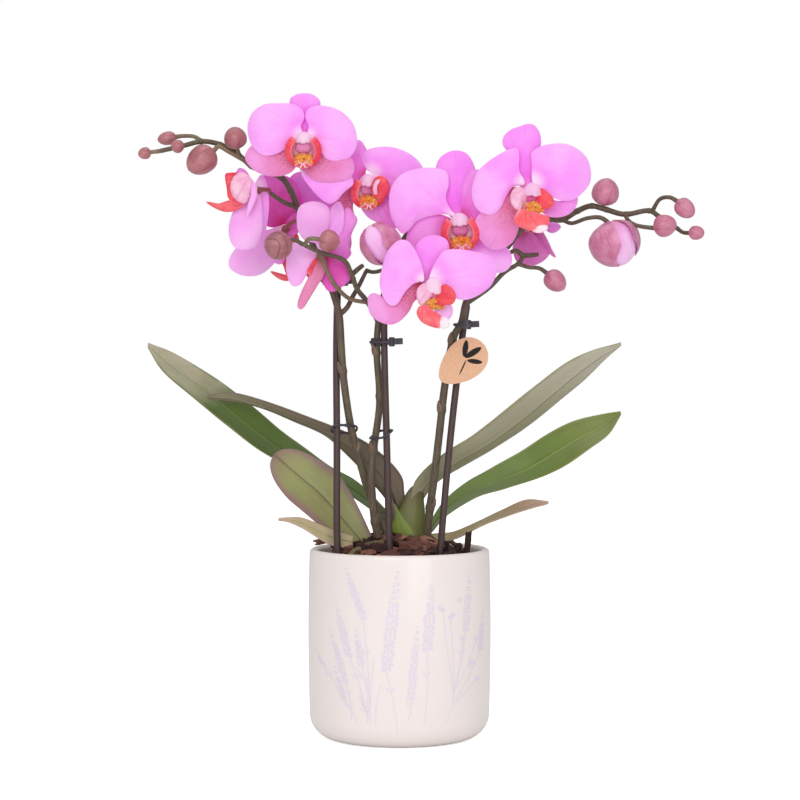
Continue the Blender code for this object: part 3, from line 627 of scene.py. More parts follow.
def buildPrint():
    bm = bmesh.new()

    def blot(across, up, long, wide, lean, turned):
        ring = []
        for k in range(9):
            turn = math.tau * k / 9
            x, z = wide * math.cos(turn), long * math.sin(turn) * (1 + 0.18 * math.cos(turn * 3))
            sideways = across + x * math.cos(lean) - z * math.sin(lean)
            upward = up + x * math.sin(lean) + z * math.cos(lean)
            ring.append(bm.verts.new(onPot(sideways, upward, turned)))
        bm.faces.new(ring)

    def stem(points, width, turned):
        path = smoothPath([Vector((x, 0, z)) for x, z in points], 10)
        rows = []
        for i, point in enumerate(path):
            ahead = path[min(i + 1, len(path) - 1)] - path[max(i - 1, 0)]
            side = Vector((ahead.z, 0, -ahead.x)).normalized() * width
            rows.append([
                bm.verts.new(onPot(point.x + s * side.x, point.z + s * side.z, turned)) for s in (-1, 1)
            ])
        for low, high in zip(rows, rows[1:]):
            bm.faces.new((low[0], low[1], high[1], high[0]))

    for turned in (0.0, math.pi):
        for top, foot, end, half in sprigs:
            top, foot = Vector(top), Vector(foot)
            axis = foot - top
            lean = math.atan2(-axis.x, -axis.y) * -1
            steps = int(axis.length / 1.25)
            for i in range(steps + 1):
                share = i / steps
                centre = top.lerp(foot, share)
                width = half * (0.22 + 0.78 * min(1.0, share * 1.9) ** 0.8)
                gap = share < 0.3 and i % 3 == 1
                for sign in (-1, 1) if not gap else ():
                    push = width * random.uniform(0.4, 0.85) * sign
                    blot(
                        centre.x + push, centre.y + random.uniform(-0.5, 0.5), random.uniform(0.5, 0.95),
                        width * 0.28 + 0.16, lean - sign * 0.6, turned,
                    )
                if not gap:
                    blot(centre.x, centre.y, 0.55, width * 0.26, lean, turned)
            middle = foot.lerp(Vector(end), 0.5) + Vector((0.8, 0))
            stem([tuple(foot), tuple(middle), end], 0.26, turned)
            leafAt = foot.lerp(Vector(end), 0.35)
            for sign in (-1, 1):
                blot(leafAt.x + sign * 1.3, leafAt.y + 1.1, 1.7, 0.42, lean - sign * 0.7, turned)
        for x, z in looseFlowers:
            for k in range(5):
                turn = math.tau * k / 5
                blot(x + 0.9 * math.cos(turn), z + 0.9 * math.sin(turn), 0.75, 0.55, turn, turned)
        for points in fineStems:
            stem(points, 0.22, turned)
    mesh = bpy.data.meshes.new("potPrint")
    bmesh.ops.triangulate(bm, faces=bm.faces)
    bm.to_mesh(mesh)
    bm.free()
    made = bpy.data.objects.new("potPrint", mesh)
    bpy.context.scene.collection.objects.link(made)
    mesh.materials.append(looks["print"])
    settle(made, "cream_glaze")


buildPot()
buildPrint()
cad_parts["grow_pot"].data.materials[0] = looks["pot"]
print("pots made")


# Bark bed with loose chips

barkValues = {
    "chips": 330, "reach": 0.0440, "seed": 11, "rise": 0.0035, "lumps": (2.3, 0.22, 0.35), "clear": 0.0035,
    "sticksAt": [(-0.0356, -0.020), (-0.0058, -0.024), (0.0234, -0.021)],
}
# Chips placed one by one: place and size in mm, turns in radians, tone.
ownChips = [
    ((39.5, -10, 3.5), (3.4, 2.6, 12.5), (0.15, 0.12, 0), 0.04),
    ((33.5, -16, 1.5), (4, 3, 5), (0.5, 0.2, 1), 0.02),
    ((28.5, -20, 0.5), (5, 3, 3.4), (0.1, 0.5, 2), 0.05),
    ((-43.5, 4, 4.0), (12.5, 6, 2.4), (0.1, -0.18, 0.2), 0.75),
    ((-37, -4, 1.5), (6, 4, 3), (0.3, 0.1, 1.1), 0.1), ((12, -12, 4.5), (15, 6, 4), (0.1, 0.1, 0.2), 0.72),
    ((6, -20, 3), (14, 6, 4), (0.2, 0, -0.3), 0.55), ((17, -20, 2.5), (9, 5, 3.4), (0, 0.2, 0.5), 0.62),
    ((1, -9, 5.5), (9, 6, 4.4), (0.3, 0.3, 1.2), 0.5), ((-12, -24, 2.2), (10, 5, 3.6), (0.2, 0.1, 0.1), 0.16),
    ((-20, -22, 2.0), (11, 5, 4), (0.1, 0.2, -0.4), 0.12), ((18, -8, 4.5), (8, 6, 4), (0.4, 0.2, 0.8), 0.4),
]


def barkTop(radius):
    return rimHeight - 0.010 + 0.012 * (1 - (radius / 0.0458) ** 2)


def tumble(z, x, y):
    return Matrix.Rotation(z, 3, "Z") @ Matrix.Rotation(x, 3, "X") @ Matrix.Rotation(y, 3, "Y")


def buildBark():
    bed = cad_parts["bark_bed"]
    bed.data.materials[0] = looks["bark"]
    clearSelection()
    bpy.ops.mesh.primitive_cube_add(size=1.0)
    chip = bpy.context.active_object
    bpy.ops.object.mode_set(mode="EDIT")
    bpy.ops.mesh.select_all(action="SELECT")
    bpy.ops.mesh.subdivide(number_cuts=2)
    bpy.ops.object.mode_set(mode="OBJECT")
    scale, push, taper = barkValues["lumps"]
    noise.seed_set(barkValues["seed"])  # noise_vector changes from run to run without it
    for vert in chip.data.vertices:
        vert.co += noise.noise_vector(vert.co * scale) * push
        vert.co.x *= 1 - taper * abs(vert.co.y)
    rng = random.Random(barkValues["seed"])
    bm = bmesh.new()
    layer = bm.verts.layers.float.new("chipTone")

    def place(centre, size, turn, shade):
        copy = chip.data.copy()
        copy.transform(Matrix.Translation(centre) @ turn.to_4x4() @ Matrix.Diagonal((*size, 1)))
        before = len(bm.verts)
        bm.from_mesh(copy)
        bm.verts.ensure_lookup_table()
        for vert in bm.verts[before:]:
            vert[layer] = shade
        bpy.data.meshes.remove(copy)

    for i in range(barkValues["chips"]):
        radius = barkValues["reach"] * math.sqrt(rng.random())
        angle = rng.uniform(0, math.tau)
        x, y = radius * math.cos(angle), radius * math.sin(angle)
        if any(math.hypot(x - sx, y - sy) < barkValues["clear"] for sx, sy in barkValues["sticksAt"]):
            continue
        long = rng.uniform(0.005, 0.012) * (0.7 if radius > 0.036 else 1.0)
        size = (long, long * rng.uniform(0.4, 0.75), long * rng.uniform(0.18, 0.42))
        lift = rng.uniform(-0.001, barkValues["rise"]) * (1.6 if radius < 0.03 else 1.0)
        centre = Vector((x, y, barkTop(radius) + lift))
        turn = tumble(rng.uniform(0, math.tau), rng.uniform(-0.6, 0.6), rng.uniform(-0.5, 0.5))
        place(centre, size, turn, rng.random() ** 1.3)
    for at, size, turns, shade in ownChips:
        place(plantPoint(at), [side * mm for side in size], tumble(turns[2], turns[0], turns[1]), shade)
    mesh = bpy.data.meshes.new("barkChips")
    bm.to_mesh(mesh)
    bm.free()
    made = bpy.data.objects.new("barkChips", mesh)
    bpy.context.scene.collection.objects.link(made)
    mesh.materials.append(looks["bark"])
    bpy.data.objects.remove(chip)
    settle(made, "bark", (), 35)


buildBark()
print("bark made")


# Roots, stem and leaves

rootRoutes = {
    "aerial_root_left": [(-10, -13, 4), (-18, -19, 3), (-26, -25, 0), (-30, -32, -4)],
    "aerial_root_right": [(22, 10, 5), (28, 16, 4), (33, 24, 0)],
}


def buildRoots():
    for node, points in rootRoutes.items():
        path = smoothPath(plantPoints(points), 12)
        radii = []
        for i in range(len(path)):
            share = i / (len(path) - 1)
            radii.append((2.2 - 0.9 * share) * mm * (1 + 0.1 * noise.noise(path[i] * 220)))
        settle(makeTube(node.replace("_", ""), path, radii, looks["root"], 5), "root", [node])


stemValues = {
    "place": (4.5, 6.5), "core": (6.6, 5.0), "foot": 0.5, "height": 22, "swell": (0.92, 0.16, 1.15),
    "narrow": 0.12,
    "roundTop": 0.2, "thickness": 0.0011,
}
# Each sheath: angle of its middle from the front, half the angle it wraps, half-width, half-depth, height,
# lean in mm,
# how far it narrows to a point, and its look.
sheaths = [
    (-84, 74, 10.6, 7.4, 35, -5.0, 0.25, "sheathPurple"), (22, 92, 9.4, 7.0, 36.5, 2.6, 0.4, "sheathOlive"),
    (-22, 66, 10.0, 7.8, 25.5, -4.5, 0.86, "sheathBright"), (52, 62, 9.2, 8.0, 15, 2.5, 0.5, "sheathOlive"),
]


def buildStem():
    values = stemValues
    centre = values["place"]

    def core(p):
        share = (p.z + 1) / 2
        return plantPoint((
            centre[0] + p.x * values["core"][0], centre[1] + p.y * values["core"][1],
            values["foot"] + values["height"] * share,
        ))

    parts = [makeBall("leafyStem", 40, 24, core, looks["sheath"])]
    for middle, wrap, wide, deep, height, lean, point, look in sheaths:
        def sheath(x, y):
            share = (y + 1) / 2
            angle = math.radians(middle + x * wrap * (1 - point * share**2))
            base, more, low = values["swell"]
            swell = base + more * math.sin(math.pi * min(1.0, share * low)) - values["narrow"] * share
            rise = height * share * (1 - values["roundTop"] * x * x)
            across = centre[0] + wide * swell * math.sin(angle) + lean * share**2
            return plantPoint((across, centre[1] - deep * swell * math.cos(angle), values["foot"] + rise))

        sides = [leafLooks[look]] * 2
        parts.append(makeSheet("leafyStem", 24, 24, sheath, sides, values["thickness"], None, 0.3))
    settle(joinPieces(parts, "leafyStem"), "stem_green", ["stem_base"], 60)


leafLooks = {
    # The long leaf's pale grey tip colour, from 0.66 to 0.8 along it, is a painted reflection of the bright
    # studio on its glossy outer third.
    "longTop": leafLook(
        "leafLongTop", tone(82, 108, 32), tone(112, 118, 66), tone(188, 182, 154), tone(114, 136, 60),
        {
            **leafDefaults, "roughness": 0.36, "coat": 0.12, "tipFrom": 0.66, "tipTo": 0.8,
            "patch": tone(88, 112, 36),
        },
    ),
    "greenTop": leafLook(
        "leafGreenTop", tone(116, 142, 50), tone(134, 144, 74), tone(128, 142, 72), tone(160, 174, 104),
        {**leafDefaults, "roughness": 0.36, "coat": 0.1, "patch": tone(84, 108, 36)},
    ),
    "greyUnder": leafLook(
        "leafGreyUnder", tone(176, 170, 140), tone(156, 148, 116), tone(190, 184, 164), tone(122, 114, 86),
        {**leafDefaults, "roughness": 0.5, "coat": 0.0, "patch": tone(166, 160, 144), "margin": 0.08},
    ),
    "archedUnder": leafLook(
        "leafArchedUnder", tone(132, 118, 98), tone(112, 88, 84), tone(138, 134, 106), tone(96, 84, 70),
        {**leafDefaults, "roughness": 0.5, "coat": 0.0, "patch": tone(146, 130, 112), "margin": 0.16},
    ),
    "archedTop": leafLook(
        "leafArchedTop", tone(92, 104, 50), tone(118, 84, 88), tone(98, 108, 60), tone(126, 130, 82),
        {**leafDefaults, "margin": 0.12, "patch": tone(84, 96, 46)},
    ),
    "olive": leafLook(
        "leafOlive", tone(158, 160, 100), tone(146, 114, 110), tone(156, 136, 108), tone(100, 90, 68),
        {
            **leafDefaults, "roughness": 0.42, "coat": 0.05, "margin": 0.2, "endMargin": 0.3,
            "patch": tone(128, 118, 84), "ribShow": 0.8, "rimTone": tone(146, 106, 112),
        },
    ),
    "sheathBright": leafLook(
        "sheathBright", tone(140, 160, 62), tone(124, 112, 66), tone(120, 142, 60), tone(156, 172, 92),
        {
            **leafDefaults, "roughness": 0.4, "coat": 0.05, "margin": 0.1, "patch": tone(116, 136, 52),
            "ribShow": 0.2,
        },
    ),
    "sheathOlive": leafLook(
        "sheathOlive", tone(128, 130, 74), tone(108, 80, 70), tone(104, 100, 60), tone(136, 138, 84),
        {
            **leafDefaults, "roughness": 0.42, "coat": 0.05, "margin": 0.12, "endMargin": 0.12,
            "patch": tone(104, 104, 58), "ribShow": 0.2,
        },
    ),
    "sheathPurple": leafLook(
        "sheathPurple", tone(110, 84, 84), tone(124, 92, 98), tone(112, 96, 80), tone(96, 78, 70),
        {
            **leafDefaults, "roughness": 0.45, "coat": 0.0, "margin": 0.14, "patch": tone(118, 100, 74),
            "ribShow": 0.2,
        },
    ),
    "lowPink": leafLook(
        "leafLowPink", tone(190, 178, 134), tone(200, 166, 148), tone(204, 172, 152), tone(140, 122, 90),
        {
            **leafDefaults, "roughness": 0.45, "coat": 0.0, "margin": 0.16, "endMargin": 0.2,
            "patch": tone(160, 138, 104),
        },
    ),
}
# Each leaf: its looks (upper, under) and its two edges from base to tip, as the CAD has them.
leafEdges = {
    "leaf_left_long": ("longTop", "greyUnder", "leaf_green", [
        (-8, 10, 15), (-32, 9, 32), (-53, 10, 43), (-76, 10, 53), (-104, 11, 73), (-123, 13, 89),
        (-140, 16, 103), (-149, 20, 117),
    ], [
        (-7, 17, 20), (-25, 24, 37), (-42, 28, 47), (-66, 30, 64), (-88, 31, 82), (-106, 31, 96),
        (-133, 27, 113), (-149, 22, 120),
    ]),
    "leaf_left_arched": ("archedTop", "archedUnder", "leaf_grey", [
        (3, 5, 32), (0, 3, 44), (-18, 2, 61), (-39, 3, 71), (-58, 5, 78), (-80, 8, 86), (-100, 12, 91),
        (-113, 15, 89),
    ], [
        (-7, 10, 26), (-15, 12, 36), (-29, 15, 52), (-43, 17, 64), (-59, 18, 72), (-75, 18, 79),
        (-92, 17, 84), (-113, 16, 87),
    ]),
    "leaf_left_broad": ("olive", "lowPink", "leaf_olive", [
        (-27, -9, 2), (-41, -10, 10), (-57, -11, 23), (-66, -11, 31), (-73, -9.5, 41), (-75, -8, 49),
        (-73, -7.5, 54.5),
    ], [
        (-15, -4, 5), (-25, -2, 26), (-35, -1, 42), (-46, -2, 51), (-58, -4, 57), (-67, -6, 58),
        (-72.5, -7.2, 55.3),
    ]),
    "leaf_left_low": ("lowPink", "lowPink", "leaf_olive", [
        (-27, -15, 1), (-40, -15, 3), (-55, -15.5, 12), (-64, -15, 16), (-70, -14, 17),
    ], [
        (-27, -12, 8), (-39, -13, 12), (-55, -14, 18.5), (-64, -14, 19), (-70, -13.5, 18.5),
    ]),
    "leaf_right_high": ("greenTop", "greyUnder", "leaf_grey", [
        (14, 9, 28), (22, 14, 38), (37, 19, 47), (56, 22, 57), (78, 24, 72), (95, 22, 86), (109, 18, 98),
        (121, 14, 110), (130, 10, 118),
    ], [
        (7, -1, 33), (12, -4, 43), (28, -7, 57), (44, -7, 67), (62, -6, 81), (78, -4, 94), (96, 0, 107),
        (113, 4, 115), (130, 8, 120),
    ]),
    "leaf_right_middle": ("greenTop", "greyUnder", "leaf_green", [
        (17, 14, 13), (26, 22, 26), (40, 29, 37), (55, 33, 45), (70, 35, 53), (88, 36, 65), (104, 35, 73),
        (120, 33, 77), (132, 30, 79),
    ], [
        (18, 4, 8), (28, 3, 19), (45, 5, 29), (62, 7, 34), (81, 9, 40), (98, 12, 48), (112, 16, 57),
        (124, 21, 66), (132, 28, 77),
    ]),
    "leaf_right_low": ("lowPink", "lowPink", "leaf_olive", [
        (20, 3, 8), (32, 5, 9), (46, 6, 15), (60, 6, 22), (74, 4, 28), (87, 0, 27.5),
    ], [
        (20, -5, 3), (34, -6, 6), (48, -8, 14), (64, -8, 20), (78, -6, 24), (87, -1, 26),
    ]),
}
leafShape = {"across": 24, "along": 90, "thickness": 0.0013, "sag": 0.07, "groove": 0.0006, "stemPull": 0.55}


def buildLeaf(node, upper, under, slotName, lefts, rights):
    stem = plantPoint((*stemValues["place"], 4.0))
    lefts, rights = plantPoints(lefts), plantPoints(rights)
    if node not in ("leaf_left_broad", "leaf_left_low"):
        lefts = [lefts[0].lerp(stem, leafShape["stemPull"]), *lefts]
        rights = [rights[0].lerp(stem, leafShape["stemPull"]), *rights]
    leftPath, rightPath = smoothPath(lefts, 12), smoothPath(rights, 12)

    def blade(x, y):
        share = (y + 1) / 2
        left, right = along(leftPath, share), along(rightPath, share)
        ahead = along(leftPath, share + 0.01) + along(rightPath, share + 0.01)
        ahead -= along(leftPath, share - 0.01) + along(rightPath, share - 0.01)
        width = (left - right).length
        up = ahead.cross(left - right).normalized()
        place = left.lerp(right, (x + 1) / 2)
        place -= up * (width * leafShape["sag"] * (1 - abs(x) ** 1.6))
        place -= up * (leafShape["groove"] * math.exp(-((x / 0.07) ** 2)))
        ripple = noise.noise(place * 38) * 0.0009 * abs(x)
        return place + up * ripple

    leaf = makeSheet(
        node.replace("_", ""), leafShape["across"], leafShape["along"], blade,
        [leafLooks[upper], leafLooks[under]], leafShape["thickness"], None, 0.35,
    )
    settle(leaf, slotName, [node], 70)


buildRoots()
buildStem()
for node, values in leafEdges.items():
    buildLeaf(node, *values)
print("leaves made")


# Support sticks and flower stalks

stickRoutes = {
    "support_stick_left": [
        (-30.6, -17.2, -45), (-35.6, -20, 0), (-36, -18, 60), (-36.3, -15, 120), (-35, -14, 172),
    ],
    "support_stick_middle": [
        (-5, -20.6, -45), (-5.8, -24, 0), (-7, -22, 50), (-8.6, -19, 110), (-9, -18, 146),
    ],
    "support_stick_right": [
        (20.1, -18.1, -45), (23.4, -21, 0), (29, -18, 62), (35.5, -15, 118), (39, -13.5, 142),
    ],
}
stickRadius = 0.0020
# Each stalk: its routes from base to tip and the heights of its nodes, each with the side its bract faces.
stalkRoutes = {
    "flower_stalk_left": {
        "main": [
            (-6, -3, 6), (-10, -1, 14), (-18, -2, 33), (-24.5, -8, 57), (-28.5, -12, 73), (-32, -18, 98),
            (-33.5, -20, 120), (-34.5, -21, 135), (-38, -21, 148), (-43, -17, 160), (-49, -11, 174),
            (-54, -10, 186), (-58, -16, 196), (-62, -24, 206), (-67, -28, 213.5), (-76, -28, 217),
            (-84, -27, 220), (-91, -27, 226), (-101, -28, 232), (-112, -30, 234), (-124, -32, 231),
            (-136, -35, 228),
        ],
        "twigs": [
            [(-34, -20, 136), (-30, -20, 140), (-27, -18, 146), (-23, -18, 153), (-19, -20, 161)],
            [(-58, -17, 197), (-66, -24, 200), (-74, -31, 205)],
            [(-43.5, -17, 161), (-40, -19, 164), (-38, -20, 166.5)],
        ],
        "nodes": [(57.4, 1), (103.5, -1), (22, 1)],
    },
    "flower_stalk_middle": {
        "main": [
            (-12.5, -9, 7), (-15, -10, 22), (-16.3, -11, 42), (-15, -12, 58), (-11.5, -13.5, 85),
            (-13, -15, 112), (-12.5, -16, 129), (-10.5, -14, 141), (-7, -12, 156), (-2, -12, 170),
            (5.5, -14, 184), (17, -17, 194),
            (31, -19, 203),
        ],
        "twigs": [
            [
                (-12.4, -16, 132), (-18, -25, 142.5), (-24, -35, 150), (-27, -41, 158), (-31.5, -46, 166),
                (-44, -49, 170), (-54, -51, 174.5),
            ],
            [(-4, -12, 165), (-8, -12, 182), (-13, -14, 198)],
            [(-27, -41, 158), (-22.5, -37, 162), (-20.5, -36, 163.5)],
        ],
        "nodes": [(58, -1), (89, 1), (16, 1), (114, -1)],
    },
    "flower_stalk_right": {
        "main": [
            (16, -4, 5), (17.5, -6, 22), (20, -9.5, 41), (23, -12, 67), (26, -14.5, 94), (30.5, -18, 121),
            (35.5, -20.5, 131), (38, -21, 142), (43, -20, 153), (51.5, -17, 164), (62, -16, 175),
            (70, -18, 185), (77, -20, 189), (86, -22, 190.5), (93, -24, 190), (101, -26, 194.5),
            (109, -28, 197.5), (117, -30, 195.5), (128, -32, 192.5), (141, -33, 194.5), (147.5, -33, 191),
            (157.5, -33, 184.5),
        ],
        "twigs": [
            [(38, -21, 142), (51, -21, 151), (60, -20, 160), (68, -19, 165), (71.5, -18, 170)],
            [(71, -18, 169.5), (67, -18, 172.5), (63.5, -18, 171.5)],
            [(71.2, -18, 169.8), (76, -18, 170), (80, -18, 170.5)],
        ],
        "nodes": [(24, 1), (81, -1), (120.7, -1)],
    },
}
stalkShape = {
    "radius": 0.0024, "slim": 0.56, "twig": 0.00125, "knot": 0.22, "knotReach": 0.0016,
    "bract": (0.0068, 0.0032),
    "smallKnot": (14, 0.16, 1.6), "uneven": 0.03,
}


def buildSticks():
    for node, points in stickRoutes.items():
        path = smoothPath(plantPoints(points), 14)
        radii = [stickRadius * (1 + 0.02 * noise.noise(point * 90)) for point in path]
        radii = [*radii[:-1], stickRadius * 0.8]
        settle(makeTube(node.replace("_", ""), path, radii, looks["stick"], 7), "stick_plastic", [node])


def buildBract(name, at, ahead, side, length, width):
    outward, forward = side.normalized(), ahead.normalized()
    across = forward.cross(outward)

    def scale(x, y):
        share = (y + 1) / 2
        half = width / 2 * math.sin(math.pi * (0.25 + 0.75 * share)) ** 0.8
        wrap = x * 1.25 * (1 - 0.5 * share)
        lift = stalkShape["radius"] * (1.04 + 0.12 * math.sin(math.pi * share) + 0.22 * share)
        turned = outward * math.cos(wrap) + across * math.sin(wrap) * (half / (width / 2) + 0.1)
        return at + turned * lift + forward * (length * share - length * 0.2)

    return makeSheet(name, 10, 14, scale, [looks["bract"]], 0.00035, None, 0.4)


def buildStalks():
    for node, stalk in stalkRoutes.items():
        parts = []
        path = smoothPath(plantPoints(stalk["main"]), 14)
        last = len(path) - 1
        radii = []
        for i, point in enumerate(path):
            radius = stalkShape["radius"] * (1 - (1 - stalkShape["slim"]) * i / last)
            for height, _ in stalk["nodes"]:
                away = (point.z - rimHeight - height * mm) / stalkShape["knotReach"]
                radius *= 1 + stalkShape["knot"] * math.exp(-(away**2))
            every, swell, wide = stalkShape["smallKnot"]
            if i > last * 0.6:
                radius *= 1 + swell * math.exp(-(((i % every) - 1) / wide) ** 2)
            radii.append(radius * (1 + stalkShape["uneven"] * noise.noise(point * 260)))
        radii[-1] *= 0.7
        parts.append(makeTube(node, path, radii, looks["stalk"], 6))
        for points in stalk["twigs"]:
            way = smoothPath(plantPoints(points), 10)
            slender = [stalkShape["twig"] * (1.25 - 0.3 * i / (len(way) - 1)) for i in range(len(way))]
            slender[-1] *= 0.6
            parts.append(makeTube(node, way, slender, looks["stalk"], 5))
        for height, sign in stalk["nodes"]:
            at = heightPoint(path, rimHeight + height * mm)
            above = heightPoint(path, rimHeight + (height + 4) * mm)
            parts.append(buildBract(node, at, above - at, Vector((sign, -0.5, 0)), *stalkShape["bract"]))
        settle(joinPieces(parts, node.replace("_", "")), "stalk_skin", [node], 60)


buildSticks()
buildStalks()
print("stalks made")


# Buds

# Each bud: pedicel from the stalk, base, tip, diameter in mm, look, and the sepals of an opening bud as the
# angle of the middle, half the angle it wraps and the share of the length it covers.
budSet = {
    "bud_left_tip": ([(-136, -35, 228)], (-140.5, -35.6, 227.4), (-148, -36.5, 226), 6.8, "bud", None),
    "bud_left_front": (
        [(-124, -32, 231), (-124.5, -35, 231)], (-124.6, -36.5, 230.8), (-126, -43, 229.8), 7.6, "bud", None,
    ),
    "bud_left_upper": (
        [(-112, -30, 234), (-117, -27.5, 237), (-123, -26, 237.5)], (-127, -26.5, 237), (-138, -27.5, 235),
        7.8, "bud", None,
    ),
    "bud_left_large": (
        [(-84, -27, 220), (-88.5, -33, 223), (-96.5, -36, 227.5), (-102, -37, 230.5)], (-104.5, -37, 228.6),
        (-119.5, -38, 216.6), 16.2, "bud", None,
    ),
    "bud_left_near": ([(-91, -27, 226)], (-92, -32, 229.4), (-94.2, -35, 242), 13.0, "bud", None),
    "bud_middle_left": (
        [(-54, -51, 174.5), (-59, -53, 177)], (-62.8, -53, 175.6), (-73, -64, 171), 16.0, "budRinged", None,
    ),
    "bud_middle_right": (
        [(-53, -50.5, 174), (-51, -55, 177), (-48, -56, 177.5)], (-45, -56, 177), (-33, -55.5, 175.4), 12.6,
        "bud", None,
    ),
    "bud_middle_opening": (
        [(-19, -20, 161), (-14, -26, 160), (-7, -35, 162)], (-4, -45, 166), (-17.5, -55, 184.5), 21.5,
        "budPink", [(75, 72, 1.0), (-88, 46, 1.0), (190, 62, 0.95)],
    ),
    "bud_right_upper": ([(115, -29.6, 196)], (115.8, -30, 197.4), (118.6, -31, 213.4), 15.6, "budPink", None),
    "bud_right_opening": (
        [(93, -24, 190), (98, -31, 187.5), (106, -35, 190), (113, -36, 190.5)], (117.5, -36, 188),
        (127, -38, 163), 27.5, "budPink", [(73, 78, 1.0), (-96, 56, 0.9), (188, 60, 0.9)],
    ),
    "bud_right_middle": (
        [(128, -32, 192.5), (129.5, -38, 188.5), (134, -42, 185.5)], (142.5, -45, 184), (155.8, -47, 186.6),
        12.6, "budPink", None,
    ),
    "bud_right_high": (
        [(143, -33, 193.5), (147, -37, 200.5), (152, -41, 201.5)], (155.8, -43, 199.4), (165.4, -45, 190.6),
        10.6, "budPink", None,
    ),
    "bud_right_tip": (
        [(157.5, -33, 184.5), (160, -38, 182)], (163, -41, 181.4), (171.5, -45, 181.4), 8.0, "budPink", None,
    ),
    "bud_right_lower": (
        [(68, -19, 165), (74, -19, 163), (80, -18.5, 162.5)], (84.2, -18, 160), (95, -17.5, 150.2), 12.0,
        "budPink", None,
    ),
}
budShape = {
    "outline": [0.18, 0.64, 0.87, 0.97, 1.0, 0.99, 0.95, 0.86, 0.72, 0.5, 0.06], "pedicel": 0.00115,
    "pedicelSwell": (0.55, 0.2), "lobes": 0.035, "innerShare": 0.93, "sepalLift": (1.05, 0.06, 0.04),
    "sepalFrom": 0.02, "sepalTo": 0.95,
}


def budFrame(base, tip):
    axis = (tip - base).normalized()
    front = Vector((0, -1, 0))
    front = (front - axis * front.dot(axis)).normalized()
    return axis, front, axis.cross(front)


def buildBud(node, pedicel, base, tip, diameter, look, sepals):
    base, tip = plantPoint(base), plantPoint(tip)
    axis, front, side = budFrame(base, tip)
    length = (tip - base).length
    half = diameter * mm / 2
    way = [*plantPoints(pedicel), base, base + axis * (length * 0.12)]
    path = smoothPath(way, 10)
    last = len(path) - 1
    thin, (top, foot) = budShape["pedicel"], budShape["pedicelSwell"]
    swell = [thin * (1 + top * (i / last) ** 4 + foot * math.exp(-((i / 3) ** 2))) for i in range(last + 1)]
    parts = [makeTube(node, path, swell, looks["twig" if look == "bud" else "stalk"], 5)]

    def around(share, angle, scale):
        reach = between(budShape["outline"], share) * half * scale
        reach *= 1 + budShape["lobes"] * math.cos(3 * angle) * min(1.0, share * 1.5)
        return base + axis * (length * share) + (front * math.cos(angle) + side * math.sin(angle)) * reach

    inner = budShape["innerShare"] if sepals else 1.0

    def egg(p):
        share = (math.asin(max(-1.0, min(1.0, p.z))) / math.pi + 0.5) * 0.98 + 0.005
        return around(share, math.atan2(p.y, p.x), inner)

    parts.append(makeBall(node, 44, 30, egg, looks["budPetal"] if sepals else looks[look]))
    for middle, wrap, reach in sepals or ():
        def sepal(x, y):
            share = (y + 1) / 2
            spread = min(1.0, 1.15 * math.sin(math.pi * (0.3 + 0.66 * share)) ** 0.6)
            angle = math.radians(middle + x * wrap * spread)
            rise, sides, end = budShape["sepalLift"]
            lift = rise + sides * abs(x) ** 4 + end * share**3
            return around(budShape["sepalFrom"] + budShape["sepalTo"] * share * reach, angle, lift)

        parts.append(
            makeSheet(node, 26, 34, sepal, [looks["budSepal"], looks["budPetal"]], 0.0007, None, 0.4)
        )
    settle(joinPieces(parts, node.replace("_", "")), "bud_skin", [node], 60)


for node, values in budSet.items():
    buildBud(node, *values)
print("buds made")


# Flowers

